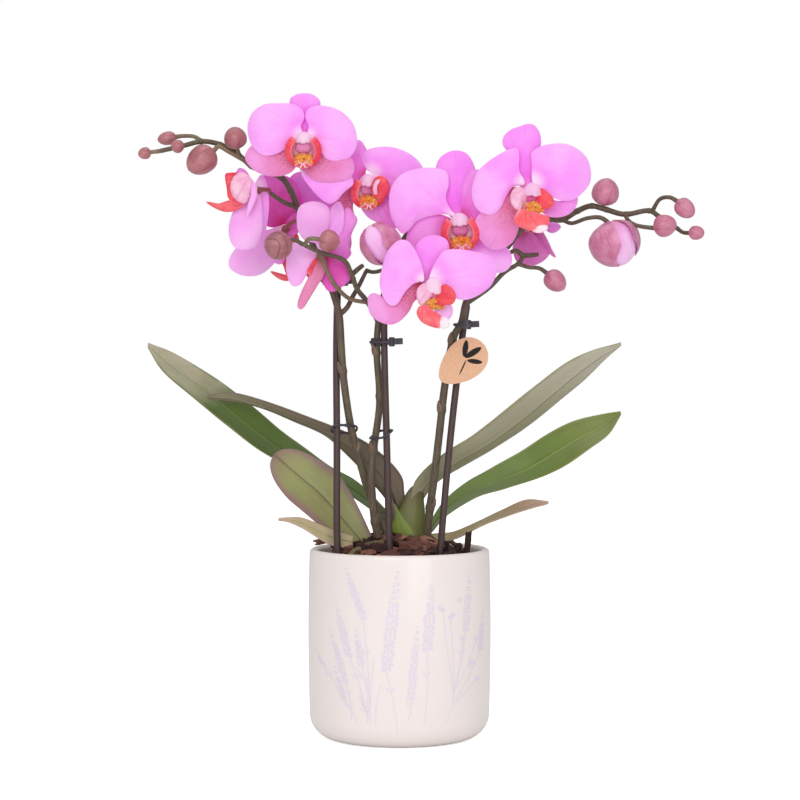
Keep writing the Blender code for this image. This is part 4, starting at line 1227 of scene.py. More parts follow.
# Each tepal or lip part: look, its depth behind the flower's centre at foot and tip, the doming of its
# middle,
# and its outline from the foot, across and up from the centre; all in mm.
flowerSet = {
    "left_top": {
        "centre": (-53.5, -54, 235), "facing": (0, -1, -0.2), "roll": 0, "size": 1.0, "lipSize": 1.02,
        "lip": "ring",
        "pedicel": [(-66, -40, 222), (-67, -28, 213.5)], "pedicelLook": "stalk",
        "tepals": [
            ("sepal", 2.2, 4.5, 1.2, [
                (0.5, -3), (4.5, 1.5), (4.5, 8.5), (9, 16), (8.5, 20.5), (4.5, 23.5), (0.5, 24), (-3.5, 23.5),
                (-7.5, 21), (-7.5, 16), (-3.5, 9.5), (-3.5, 1.5),
            ]),
            ("petal", -0.6, 1.5, 2.6, [
                (-0.5, -0.5), (-1.5, 5), (0.5, 10), (-1, 14.5), (-6, 17.5), (-13.5, 18), (-21.5, 17.5),
                (-28, 13.5), (-31, 7.5), (-31, 0.5), (-28.5, -6), (-23.5, -10.5), (-18.5, -11), (-12.5, -9),
                (-7.5, -5),
            ]),
            ("petal", -0.6, 1.5, 2.6, [
                (2, -0.5), (3, 5), (1, 10), (2.5, 14.5), (7.5, 16.5), (14.5, 16), (21.5, 13), (27, 7.5),
                (29.5, 1), (29.5, -5.5), (26, -11.5), (19.5, -14), (13, -13), (8.5, -8), (4.5, -3.5),
            ]),
            ("sepalSpeckled", 2, 4, 1.6, [
                (-1, -7.5), (-9.5, -3.5), (-19.5, -5), (-28.5, -5), (-32.5, -9.5), (-32.5, -13.5), (-29, -18),
                (-23, -21.5), (-16, -22.5), (-9.5, -21.5), (-4.5, -17.5),
            ]),
            ("sepalSpeckled", 2, 3, 1.6, [
                (2.5, -7.5), (11, -6.5), (21, -10), (27, -13), (28, -19.5), (24, -24.5), (17, -26),
                (8.5, -25.5), (3, -22.5), (-1.5, -17),
            ]),
            ("petal", 4.5, 5.5, 1.8, [
                (-2, -16.5), (5.5, -17.5), (15, -19.5), (25, -21), (27.5, -26.5), (22.5, -31), (18, -36),
                (14, -37.5), (9, -34.5), (3.5, -28.5), (-0.5, -23),
            ]),
        ],
        "lipParts": [],
    },
    "left_side": {
        "centre": (-83, -42, 206), "facing": (-1, -0.3, -0.2), "roll": 0, "size": 0.9, "lipSize": 0.8,
        "lip": "side",
        "pedicel": [(-74, -37, 206), (-74, -31, 205)], "pedicelLook": "pedicelRed",
        "tepals": [
            ("petalPale", -4, -7, 0.5, [
                (-1.5, 6), (2, 3), (3, -4), (0.5, -11), (-2.5, -15.5), (-2, -9), (0, -2),
            ]),
            ("petalPale", 2, -2, 3, [
                (1.5, -0.5), (-4, -7), (-10, -11.5), (-12.5, -18), (-13, -26), (-10, -32.5), (-3.5, -34),
                (2.5, -31.5), (5.5, -23), (5.5, -11.5), (4.5, -4),
            ]),
            ("petalBack", 4, 8, 1, [
                (-1, 4.5), (-3.5, 10.5), (-7, 12.5), (-9, 11.5), (-10, 7), (-6.5, 2.5),
            ]),
            ("petal", 7, 10, 1.5, [
                (1, 2.5), (4.5, 8.5), (7.5, 5), (9, -8), (7, -23.5), (4.5, -30.5), (1.5, -23.5), (1, -8),
            ]),
        ],
        "lipParts": [
            ("lipLobe", -2, -6, 0.8, [
                (-1.5, 7.5), (-7, 9), (-13, 9), (-15, 7.5), (-14, 0.5), (-13, -5.5), (-9, -9), (-4.5, -8),
                (-1.5, -2.5),
            ]),
            ("lipPale", -5, -8, 1.4, [
                (-0.5, 6), (-5.5, 9), (-9.5, 7), (-11.5, 2.5), (-11, -3), (-7.5, -7.5), (-3, -8), (-1, -2),
            ]),
            ("lipRed", -4, -6, 1.2, [
                (-5, -9.5), (-9.5, -6.5), (-14, -7), (-19, -8.5), (-25.5, -7.5), (-20.5, -11), (-15, -13),
                (-9.5, -12.5),
            ]),
        ],
    },
    "left_back": {
        "centre": (-67, 6, 187), "facing": (-0.1, 1, -0.15), "roll": 0, "size": 1.0, "lipSize": 0.85,
        "lip": "ring",
        "pedicel": [(-60, -9, 190), (-54, -10, 186)], "pedicelLook": "pedicelRed",
        "tepals": [
            ("petalDeep", 1, -4, -2.5, [
                (0, 1), (6.5, 3.5), (10, 13), (8, 23.5), (2.5, 29.5), (-7, 31), (-14, 29.5), (-17, 21),
                (-16, 9.5), (-10.5, 1),
            ]),
            ("petalPale", -2, -9, 1.5, [
                (-1, 0), (-9, -1), (-19.5, -5), (-28, -12), (-32, -18.5), (-31.5, -24), (-24.5, -28),
                (-16, -28), (-9, -24), (-3.5, -16),
            ]),
            ("petalDeep", -1, -3, 1, [
                (-1, 1), (6, 8.5), (10, 5), (13, 1.5), (9, -2), (3.5, -4.5),
            ]),
            ("petalBack", 3, 2, -2, [
                (1, 8.5), (0, 19), (2, 28.5), (8, 33), (18.5, 31), (30.5, 22.5), (37.5, 14.5), (31.5, 8.5),
                (19.5, 5), (8, 5),
            ]),
            ("petalBack", 0, -6, 0.8, [
                (0, -1.5), (-6, -5), (-9.5, -13), (-6.5, -20), (-1.5, -21), (1, -14), (2.5, -6),
            ]),
        ],
        "lipParts": [
            ("tongue", 6.5, 7.5, 0.4, [
                (2, -28), (-2.5, -26.5), (-9, -25), (-5.5, -28.5), (-1.5, -30.5), (2, -30.5),
            ]),
            ("lipLobe", 4, 7, 0.4, [
                (-1, -10), (-2.5, -18.5), (-1, -22.5), (0, -26), (1.5, -29), (3, -27), (2.5, -21), (1.5, -15),
            ]),
        ],
    },
    "middle_back": {
        "centre": (-46, -34, 169), "facing": (-0.35, 0.9, -0.2), "roll": -12, "size": 0.9, "lipSize": 0.75,
        "lip": "ring",
        "pedicel": [(-42, -45, 163), (-37, -40, 153), (-29, -29, 145), (-18, -25, 142.5)],
        "pedicelLook": "twig",
        "tepals": [
            ("petalPale", -1, -3, 2, [
                (1.5, 0), (-1, 6.5), (-7.5, 8.5), (-11.5, 14.5), (-12, 23.5), (-9.5, 28.5), (-2.5, 30.5),
                (5, 28), (6.5, 21.5), (5, 13.5), (4, 5.5),
            ]),
            ("petal", 1, -1, -1.6, [
                (2.5, 0), (2, 11), (4.5, 21.5), (8, 28), (12, 30.5), (14.5, 25), (14, 15.5), (10.5, 9),
                (6.5, 3),
            ]),
            ("petalBack", 3, 2, 1.5, [
                (3.5, 0), (8, 10), (12, 21.5), (16, 27.5), (20, 24), (22, 20), (19, 13), (17.5, 5.5),
                (18.5, 1), (14.5, -3), (8.5, -3),
            ]),
            ("petalPale", -4, -8, 1.2, [
                (0.5, 0.5), (-6.5, 6.5), (-13, 7), (-17, 1.5), (-18, -7), (-16.5, -14), (-14, -17.5),
                (-10, -16.5), (-6.5, -11), (-2.5, -5),
            ]),
            ("sepalNarrow", -5, -9, 1, [
                (3, -0.5), (-1, -4), (-5, -12), (-9, -20), (-11.5, -27.5), (-10.5, -30.5), (-8, -29.5),
                (-4.5, -24), (-0.5, -17.5), (4, -10), (5, -4),
            ]),
            ("petalDeep", -2, -3, 1.5, [
                (3, -0.5), (10, -1), (15.5, -5.5), (18.5, -10.5), (17.5, -14.5), (13, -18), (8.5, -20.5),
                (4.5, -19), (1.5, -11),
            ]),
        ],
        "lipParts": [
            ("lipLobe", -5, -8.4, 0.3, [
                (-0.5, -1), (-3, -3.5), (-5, -7), (-6, -10), (-4, -11), (-2.5, -7), (-0.5, -3.5),
            ]),
        ],
    },
    "middle_top": {
        "centre": (-18, -34, 213), "facing": (0.1, -1, -0.2), "roll": 0, "size": 1.06, "lipSize": 1.0,
        "lip": "ring",
        "pedicel": [(-16, -22, 207), (-13, -14, 198)], "pedicelLook": "stalk",
        "tepals": [
            ("petal", 1, 3, 2.4, [
                (2, 2.5), (-2, 7), (-4, 11.5), (-1, 15.5), (6, 17.5), (13.5, 17.5), (21.5, 15), (28.5, 10),
                (33, 2), (33.5, -7), (29, -14), (20.5, -15.5), (12.5, -11.5), (7, -5),
            ]),
            ("petalBack", 1.5, 2.5, 2, [
                (-1.5, 2), (-0.5, 9.5), (-0.5, 15.5), (-4.5, 21.5), (-10.5, 20), (-16.5, 15), (-18.5, 7),
                (-16, -1), (-9.5, -4.5), (-5, -2),
            ]),
            ("sepalSpeckled", 4, 6, 1.6, [
                (-4, -3), (-9.5, -4), (-15.5, -5.5), (-19.5, -10.5), (-19.5, -19), (-17, -28), (-16, -38),
                (-12, -44), (-9.5, -38), (-9.5, -31.5), (-7, -24), (-8.5, -17), (-7.5, -10.5),
            ]),
            ("sepalRose", 3, 5, 1.6, [
                (2, -6.5), (-3, -14), (-4, -16.5), (0, -22), (6.5, -25.5), (13.5, -28.5), (20, -25.5),
                (19, -16.5), (13, -10), (8, -6.5),
            ]),
            ("sepal", 5, 6, 1, [
                (1, 4), (-3, 9.5), (-1.5, 15.5), (4, 17), (9.5, 16), (12, 11), (8, 6.5),
            ]),
        ],
        "lipParts": [
            ("lipLobe", -6, -9.5, 1.4, [
                (2.5, -9.5), (2.5, -4), (4.5, -0.5), (8, 0.5), (11, -1.5), (12.5, -6), (11, -10.5),
                (7.5, -12.5),
                (4, -11.5),
            ]),
            ("lipPale", -8.5, -11.5, 0.8, [
                (3.6, -9.5), (3.2, -5.5), (4.6, -2.5), (7.2, -1.8), (5.8, -4.4), (5.2, -7.4), (5.4, -9.8),
            ]),
        ],
    },
    "middle_large": {
        "centre": (33.5, -47, 190), "facing": (0, -1, -0.15), "roll": -4, "size": 1.15, "lipSize": 1.1,
        "lip": "ring",
        "pedicel": [(32, -30, 200), (31, -19, 203)], "pedicelLook": "stalk",
        "tepals": [
            ("sepal", 3.5, 7, 1.4, [
                (0, -3.5), (-6, 2), (-8.5, 9), (-8, 15.5), (-11, 21.5), (-13, 28), (-10.5, 34), (-6, 37),
                (-1, 38), (4, 36.5), (7.5, 32), (9.5, 25.5), (7.5, 17.5), (6.5, 10), (5, 3.5),
            ]),
            ("petal", -0.6, 1, 3, [
                (-1, 0), (-5, 4.5), (-7.5, 11), (-6, 18), (-7, 25), (-13, 27.5), (-21, 27.5), (-29.5, 25.5),
                (-36, 20.5), (-39, 13), (-39, 4.5), (-37, -2.5), (-32.5, -9), (-28.5, -7.5), (-23.5, -2),
                (-16.5, 0.5), (-8, 1.5),
            ]),
            ("petalBack", 2, 3, 2.2, [
                (1.5, 1), (1, 8), (1.5, 16.5), (5, 23.5), (10, 27), (16, 23), (19, 12.5), (18, 2), (14.5, -6),
                (10, -8), (5.5, -4),
            ]),
            ("sepalRose", 2.5, 4.5, 1.8, [
                (-2, -3.5), (-8, 1), (-17, 1.5), (-25, -2.5), (-29.5, -10.5), (-28.5, -20.5), (-23, -28),
                (-15, -31), (-10.5, -25), (-7.5, -17.5), (-4.5, -10.5),
            ]),
            ("petal", 3.5, 5.5, 1.8, [
                (3.5, -10.5), (11.5, -7), (20.5, -13.5), (28, -18), (30, -24.5), (27, -29.5), (21.5, -31),
                (13.5, -28.5), (4.5, -24), (-1, -18),
            ]),
        ],
        "lipParts": [],
    },
    "right_top": {
        "centre": (74, -58, 206), "facing": (0.2, -1, -0.2), "roll": 0, "size": 1.12, "lipSize": 1.0,
        "lip": "open",
        "pedicel": [(80, -38, 204), (86, -22, 190.5)], "pedicelLook": "stalk",
        "tepals": [
            ("sepal", 2.5, 5, 1.2, [
                (-3, -2.5), (-8, 2), (-9.5, 9), (-9.5, 16), (-14, 20.5), (-16.5, 24.5), (-15.5, 29),
                (-11.5, 32.5), (-7.5, 34), (-3, 35.5), (1, 35), (4, 31), (5, 25.5), (4, 21), (2, 15.5),
                (2, 7.5), (1.5, 1.5),
            ]),
            ("petal", -0.6, 1.5, 2.6, [
                (-4.5, 2), (-7.5, 9.5), (-7.5, 17.5), (-9, 21.5), (-14, 20.5), (-19.5, 17.5), (-25.5, 13.5),
                (-30.5, 8.5), (-33, 2), (-33.5, -5), (-31.5, -11), (-27.5, -14.5), (-22, -15), (-17.5, -11),
                (-14.5, -5), (-11, 0),
            ]),
            ("petal", -0.6, 1.5, 2.6, [
                (0, 2.5), (-0.5, 11.5), (-0.5, 19), (4.5, 22.5), (11, 24), (18.5, 24), (25.5, 21), (30.5, 16),
                (32.5, 9), (32, 2.5), (28, -3), (22.5, -7), (16, -7.5), (9.5, -5), (4.5, -1),
            ]),
            ("sepalSpeckled", 2.5, 4.5, 2, [
                (-6, -1), (-11.5, 0), (-17.5, -5), (-23, -11.5), (-29, -14.5), (-32, -20), (-29.5, -28),
                (-24.5, -33.5), (-18, -34.5), (-11.5, -31), (-8, -24.5), (-6.5, -16), (-5.5, -8),
            ]),
            ("sepalRose", 2, 4, 1.2, [
                (4, -7), (9, -6.5), (16, -7.5), (24.5, -4.5), (25, -9.5), (21, -14.5), (15, -16.5),
                (8.5, -16),
                (4, -12),
            ]),
        ],
        "lipParts": [
            ("lipPale", -2, -7, 1, [
                (-4, -2), (-8.5, 0), (-11.5, -2.5), (-12.5, -7), (-11, -11.5), (-7.5, -13.5), (-6, -9.5),
                (-4.5, -5),
            ]),
            ("lipLobe", -2, -8, 1.2, [
                (0, -5), (1, -1), (6, -1.5), (10.5, -6), (11.5, -10), (8.5, -12.5), (4, -12), (0.5, -9.5),
            ]),
            ("tongue", -6, -11, 1.4, [
                (-3, -13), (-7.5, -13), (-10, -16.5), (-10.5, -20), (-7, -23), (0, -25), (5.5, -25),
                (8, -21.5), (8.5, -17.5), (3, -15),
            ]),
            ("tendril", -10, -12, 0.6, [
                (-0.5, -24), (3.5, -22), (7, -22), (7.5, -24), (4, -26), (0, -25.5),
            ]),
        ],
    },
    "middle_low": {
        "centre": (19, -68, 153), "facing": (0.3, -1, -0.45), "roll": 0, "size": 1.12, "lipSize": 1.0,
        "lip": "open",
        "pedicel": [(30, -45, 160), (43, -20, 153)], "pedicelLook": "stalk",
        "tepals": [
            ("sepal", 4, 6, 1, [
                (-3, -3), (-9.5, 1), (-11, 9), (-10.5, 18.5), (-6, 24.5), (1, 26), (7.5, 23), (8.5, 15.5),
                (7, 8), (3.5, 0.5),
            ]),
            ("petal", -0.6, 1.5, 2.6, [
                (-5.5, 1), (-7, 10), (-11, 18.5), (-15.5, 23), (-21, 22), (-26, 16), (-28.5, 8), (-30, -0.5),
                (-28, -8.5), (-24, -13), (-20, -12), (-16.5, -6.5), (-13, -2.5), (-9, 0),
            ]),
            ("petal", -0.6, 1.5, 3.2, [
                (-2.5, 1.5), (0.5, 10), (5, 16.5), (12, 18), (21, 17), (29.5, 14.5), (34.5, 10), (34.5, 4.5),
                (31.5, -2), (26, -6.5), (19.5, -9.5), (13, -9.5), (6.5, -5), (1.5, -1),
            ]),
            ("sepalSpeckled", 2.5, 4, 2, [
                (-6, -1), (-12.5, -1), (-17, -6.5), (-21.5, -12), (-27, -12), (-32, -6.5), (-36, -7.5),
                (-36.5, -12.5), (-35, -18), (-30, -22), (-23.5, -23.5), (-18, -21), (-13.5, -16), (-11, -11),
                (-7, -7.5),
            ]),
            ("petalPale", 2.5, 4, 1, [
                (2, -9), (8, -10.5), (10.5, -15.5), (9, -20), (5, -21), (0.5, -16.5),
            ]),
        ],
        "lipParts": [
            ("lipPale", -2, -7, 1, [
                (-0.5, -1.5), (-5.5, -1), (-9, -4), (-9.5, -9), (-7.5, -13), (-4.5, -11), (-1, -7),
            ]),
            ("lipLobe", -2, -8, 1.2, [
                (1, -8.5), (3.5, -3), (6.5, -1.5), (10, -4), (12, -8), (10.5, -12), (6.5, -13), (2, -12.5),
            ]),
            ("tongue", -6, -11, 1.6, [
                (-5, -13), (-8.5, -14), (-9.5, -18), (-6.5, -22.5), (-1, -25), (3.5, -25.5), (5, -20.5),
                (1.5, -17.5), (-2.5, -14.5),
            ]),
            ("tendril", -10, -12, 0.5, [
                (3, -20), (6.5, -20), (8.5, -23), (7, -25.5), (3.5, -25.5),
            ]),
        ],
    },
    "right_back": {
        "centre": (72, 3, 188), "facing": (0.5, 1, -0.2), "roll": 0, "size": 0.8, "lipSize": 0.6,
        "lip": "ring",
        "pedicel": [(72, -9, 187), (70, -18, 185)], "pedicelLook": "pedicelRed",
        "tepals": [
            ("petalRose", -1, -4, 2, [
                (-0.5, -3), (4, -4), (10, -2.5), (13.5, -8), (16, -14.5), (12.5, -20), (5.5, -23.5),
                (-0.5, -23.5), (-4.5, -19.5), (-6, -12.5), (-3.5, -6.5),
            ]),
            ("petalRose", -3, -5, 0.4, [
                (6, -4), (10, -2), (13.5, -7), (16.5, -13.5), (19, -18.5), (15.5, -16.5), (12, -12),
            ]),
            ("petalBack", -2, -3, 0.6, [
                (12.5, 0), (15, 2), (20, 1.5), (22, -1), (18.5, -4), (14.5, -3.5),
            ]),
            ("petalPale", 2, 4, -1, [
                (4, -11), (10.5, -8), (15.5, -12.5), (14, -18), (7.5, -19.5),
            ]),
        ],
        "lipParts": [],
    },
}
tepalShape = {
    "grid": 30, "steps": 12, "thickness": 0.00055, "thinEdge": 0.45, "domeFoot": 0.35, "domeTip": 0.65,
    "wave": 0.8, "waveScale": 0.12, "edgeRoll": 1.1, "edgeSharp": 7, "crease": 0.5, "creaseWidth": 1.3,
    "fanBack": 3,
}
backLooks = {
    "petal": "petalBack", "petalPale": "petalBack", "petalBack": "petal", "petalDeep": "petal",
    "petalRose": "petal",
    "sepal": "petalBack", "sepalSpeckled": "petalBack", "sepalRose": "petalBack", "sepalNarrow": "petalPale",
    "lipLobe": "lipInner", "lipPale": "lipRed", "lipRed": "lipInner", "tongue": "tongue",
    "tendril": "tendril",
}


def facingMatrix(place, facing, roll):
    turn = (-Vector(facing)).normalized().to_track_quat("Y", "Z").to_matrix().to_4x4()
    return Matrix.Translation(place) @ turn @ Matrix.Rotation(math.radians(roll), 4, "Y")


def signedArea(points):
    return sum(a.x * b.y - b.x * a.y for a, b in zip(points, [*points[1:], points[0]])) / 2


def buildTepal(name, centre, look, near, far, dome, outline, grid):
    values = tepalShape
    ring = [Vector(point) for point in outline]
    if signedArea(ring) < 0:
        ring = [ring[0], *reversed(ring[1:])]
    root = ring[0]
    tip = max(ring, key=lambda point: (point - root).length)
    reach = (tip - root).length
    axis = (tip - root) / reach
    middle = sum(ring, Vector((0, 0))) / len(ring)
    edge = []
    for i in range(len(ring)):
        edge += bendPoints(*[ring[(i + k) % len(ring)] for k in (-1, 0, 1, 2)], values["steps"])
    edge.append(edge[0])
    lengths = [0.0]
    for a, b in zip(edge, edge[1:]):
        lengths.append(lengths[-1] + (b - a).length)

    def onEdge(share):
        wanted = share * lengths[-1]
        for i in range(len(edge) - 1):
            if lengths[i + 1] >= wanted:
                part = (wanted - lengths[i]) / max(lengths[i + 1] - lengths[i], 1e-9)
                return edge[i].lerp(edge[i + 1], part)
        return edge[-1]

    def flatPlace(x, y):
        dx, dy = x * math.sqrt(1 - y * y / 2), y * math.sqrt(1 - x * x / 2)
        out = min(1.0, math.hypot(dx, dy))
        share = (math.atan2(dx, -dy) / math.tau) % 1.0
        return middle.lerp(onEdge(share), out), out

    def fromRoot(flat):
        away = flat - root
        return axis.x * away.y - axis.y * away.x, away.dot(axis)

    def shape(x, y):
        flat, out = flatPlace(x, y)
        across, ahead = fromRoot(flat)
        share = min(1.0, max(0.0, ahead / reach))
        depth = near + (far - near) * share
        depth -= dome * (1 - out**2) * (values["domeFoot"] + values["domeTip"] * share)
        depth += values["edgeRoll"] * out ** values["edgeSharp"] * share
        depth += values["crease"] * math.exp(-((across / values["creaseWidth"]) ** 2)) * (1 - share)
        place = Vector((flat.x, flat.y, near * 3)) * values["waveScale"] + Vector(centre)
        depth += noise.noise(place) * values["wave"] * share
        return plantPoint((centre[0] + flat.x, centre[1] + depth, centre[2] + flat.y))

    def fan(x, y):
        across, ahead = fromRoot(flatPlace(x, y)[0])
        return 0.5 + math.atan2(
            across, ahead + values["fanBack"],
        ) / math.pi, math.hypot(across, ahead) / reach

    sides = [looks[look], looks[backLooks[look]]]
    return makeSheet(name, grid, grid, shape, sides, values["thickness"], fan, values["thinEdge"])


lipShape = {
    "centreDown": 7.8, "ringIn": 4.4, "ringOut": 5.4, "ringFrom": 26, "ringTo": 142, "depth": 6.6,
    "lobeStart": -2.6,
    "lobeCurl": (0.15, 0.74), "lobeEnds": (0.42, 0.58, 0.7), "lobeThick": 0.0006,
    "tongueStart": (-4.5, -15.6),
    "tongueLength": 6.6, "tongueWidth": 9.5, "tongueWaist": (0.55, 0.45, 0.9), "tongueCup": (2.2, 0.4),
    "tongueLift": 1.8, "tongueSag": 1.6, "tongueThick": 0.0008, "tendril": 0.26, "tendrilSteps": 14,
    "neck": ((0, -3.6, -6.6), (4.4, 1.2, 3.4)), "dish": ((0, -2.4, -8.6), (7.0, 1.3, 7.2)),
    "beadOut": -6.6, "beadHeight": {"ring": -12.4, "open": -10.6}, "beadLumps": 0.35, "grid": 20,
    "callus": [
        (-2.9, 1.0, 2.1), (0.2, 1.7, 1.9), (3.0, 0.8, 2.2), (-1.4, -1.2, 1.9), (1.7, -1.4, 1.8),
        (-3.6, -1.4, 1.3),
        (4.0, -1.5, 1.4),
    ],
}


def buildOval(name, segments, rings, centre, size, scale, look):
    def oval(p):
        return Vector((
            centre[0] + p.x * size[0], centre[1] + p.y * size[1], centre[2] + p.z * size[2],
        )) * scale

    return makeBall(name, segments, rings, oval, looks[look])


def buildRing(name, size):
    values = lipShape
    scale = size * mm
    parts = []
    for sign in (-1, 1):
        def lobe(x, y):
            a, b = (x + 1) / 2, (y + 1) / 2
            turn = math.radians(values["ringFrom"] + (values["ringTo"] - values["ringFrom"]) * a)
            curl = math.sin(math.pi * (values["lobeCurl"][0] + values["lobeCurl"][1] * b))
            radius = values["ringIn"] + values["ringOut"] * curl
            low, more, power = values["lobeEnds"]
            reach = values["depth"] * b * (low + more * math.sin(math.pi * a) ** power)
            across, up = sign * radius * math.sin(turn), -values["centreDown"] - radius * math.cos(turn)
            return Vector((across, values["lobeStart"] - reach, up)) * scale

        sides = [looks["lipLobe"], looks["lipInner"]] if sign > 0 else [looks["lipInner"], looks["lipLobe"]]
        parts.append(makeSheet(name, 26, 20, lobe, sides, values["lobeThick"] * size, None, 0.6))

    def tongue(x, y):
        share = (y + 1) / 2
        narrow, more, long = values["tongueWaist"]
        half = values["tongueWidth"] / 2 * (narrow + more * math.sin(math.pi * min(1.0, share / long)))
        cup, flatter = values["tongueCup"]
        lift = cup * x * x * (1 - flatter * share) + values["tongueLift"] * share**3
        out, up = values["tongueStart"]
        up = up + lift - values["tongueSag"] * math.sin(math.pi * share)
        return Vector((x * half, out - values["tongueLength"] * share, up)) * scale

    parts.append(
        makeSheet(name, 22, 22, tongue, [looks["tongue"]] * 2, values["tongueThick"] * size, None, 0.5)
    )
    last = values["tendrilSteps"] - 1
    for sign in (-1, 1):
        way = []
        for k in range(last + 1):
            share = k / last
            up = -14.6 - 1.5 * share - 0.8 * math.sin(share * 3)
            way.append(Vector((sign * (0.5 + 2.0 * share), -10.9 - 1.2 * math.sin(share * 4.4), up)) * scale)
        radii = [values["tendril"] * mm * size * (1.5 - 0.8 * k / last) for k in range(last + 1)]
        parts.append(makeTube(name, way, radii, looks["tendril"], 3))
    return parts


def buildThroat(name, size, low):
    scale = size * mm
    parts = [
        buildOval(name, 24, 16, *lipShape["neck"], scale, "throat"),
        buildOval(name, 36, 20, *lipShape["dish"], scale, "lipInner"),
    ]
    for across, up, radius in lipShape["callus"]:
        def bead(p):
            lump = noise.noise(p * 2.2 + Vector((across, up, 0)))
            bump = radius * (1 + lipShape["beadLumps"] * lump)
            out = lipShape["beadOut"] + up * 0.5 + p.y * bump
            return Vector((across + p.x * bump, out, low + up + p.z * bump * 0.9)) * scale

        parts.append(makeBall(name, 20, 14, bead, looks["callus"]))
    return parts


def buildLip(key, values, place):
    name = f"lip{key.replace('_', '')}"
    kind, size = values["lip"], values["lipSize"]
    turned = buildRing(name, size) if kind == "ring" else []
    if kind != "side":
        turned += buildThroat(name, size, lipShape["beadHeight"][kind])
    for part in turned:
        part.matrix_world = place
    flat = [
        buildTepal(name, values["centre"], *settings, lipShape["grid"]) for settings in values["lipParts"]
    ]
    settle(joinPieces([*flat, *turned], name), "lip_red", [f"lip_{key}"], 70)


columnShape = {
    "width": (3.2, 1.6, 0.95), "back": 4.0, "length": 11.5, "hood": 2.4, "hoodBend": 1.6, "hoodSides": 3.4,
    "height": (0.66, 0.2), "cap": ((0, -6.6, -2.9), (1.9, 1.0, 1.2)), "stemStart": (3.4, 7), "stemUp": -1.4,
    "stemRadius": 0.0012,
}


def buildColumn(name, scale):
    values = columnShape

    def column(p):
        share = (1 - p.y) / 2
        narrow, more, long = values["width"]
        width = narrow + more * math.sin(math.pi * min(1.0, share * long))
        hood = -values["hood"] * share ** values["hoodBend"] - values["hoodSides"] * share * (p.x * p.x)
        tall = values["height"][0] - values["height"][1] * share
        return Vector((
            p.x * width, values["back"] - values["length"] * share, p.z * width * tall + hood,
        )) * scale

    return [
        makeBall(name, 32, 24, column, looks["column"]),
        buildOval(name, 24, 16, *values["cap"], scale, "column"),
    ]


def buildFlower(key, values):
    name = f"flower{key.replace('_', '')}"
    size = values["size"]
    place = facingMatrix(plantPoint(values["centre"]), values["facing"], values["roll"])
    inverse = place.inverted()
    parts = [
        buildTepal(name, values["centre"], *settings, tepalShape["grid"]) for settings in values["tepals"]
    ]
    turned = buildColumn(name, size * mm)
    way = [Vector((0, out, columnShape["stemUp"])) * size * mm for out in columnShape["stemStart"]]
    way += [inverse @ point for point in plantPoints(values["pedicel"])]
    path = smoothPath(way, 10)
    last = len(path) - 1
    thin = columnShape["stemRadius"]
    radii = [thin + thin * size * math.exp(-((i / last * 5) ** 2)) for i in range(last + 1)]
    turned.append(makeTube(name, path, radii, looks[values["pedicelLook"]], 5))
    for part in turned:
        part.matrix_world = place
    settle(joinPieces([*parts, *turned], name), "petal_pink", [f"flower_{key}"], 70)
    buildLip(key, values, place)


for key, values in flowerSet.items():
    buildFlower(key, values)
print("flowers made")


# Clips and tag

clipSet = {
    "clip_left_lower": ("support_stick_left", "flower_stalk_left", 70, 0.0),
    "clip_left_upper": ("support_stick_left", "flower_stalk_left", 155, 1.0),
    "clip_middle_lower": ("support_stick_middle", "flower_stalk_middle", 67, 0.0),
    "clip_middle_upper": ("support_stick_middle", "flower_stalk_middle", 120, 1.0),
    "clip_right_upper": ("support_stick_right", "flower_stalk_right", 130, 1.0),
}
clipShape = {
    "wire": 0.0007, "slack": 0.0006, "band": 0.00096, "tilt": 0.0022, "steps": 40,
    "tail": (0.0088, 0.0014, 0.0036),
    "latch": (0.0026, 0.0030, 0.0054), "block": (0.0070, 0.0040, 0.0050),
    "wireBlock": (0.0030, 0.0016, 0.0020),
}


def buildBlock(name, size, place, turn):
    clearSelection()
    bpy.ops.mesh.primitive_cube_add(size=1.0)
    block = bpy.context.active_object
    block.name = name
    block.data.transform(Matrix.Translation(place) @ turn.to_4x4() @ Matrix.Diagonal((*size, 1)))
    applyModifier(block, "BEVEL", width=min(size) * 0.22, segments=3)
    block.data.materials.append(looks["clip"])
    return block


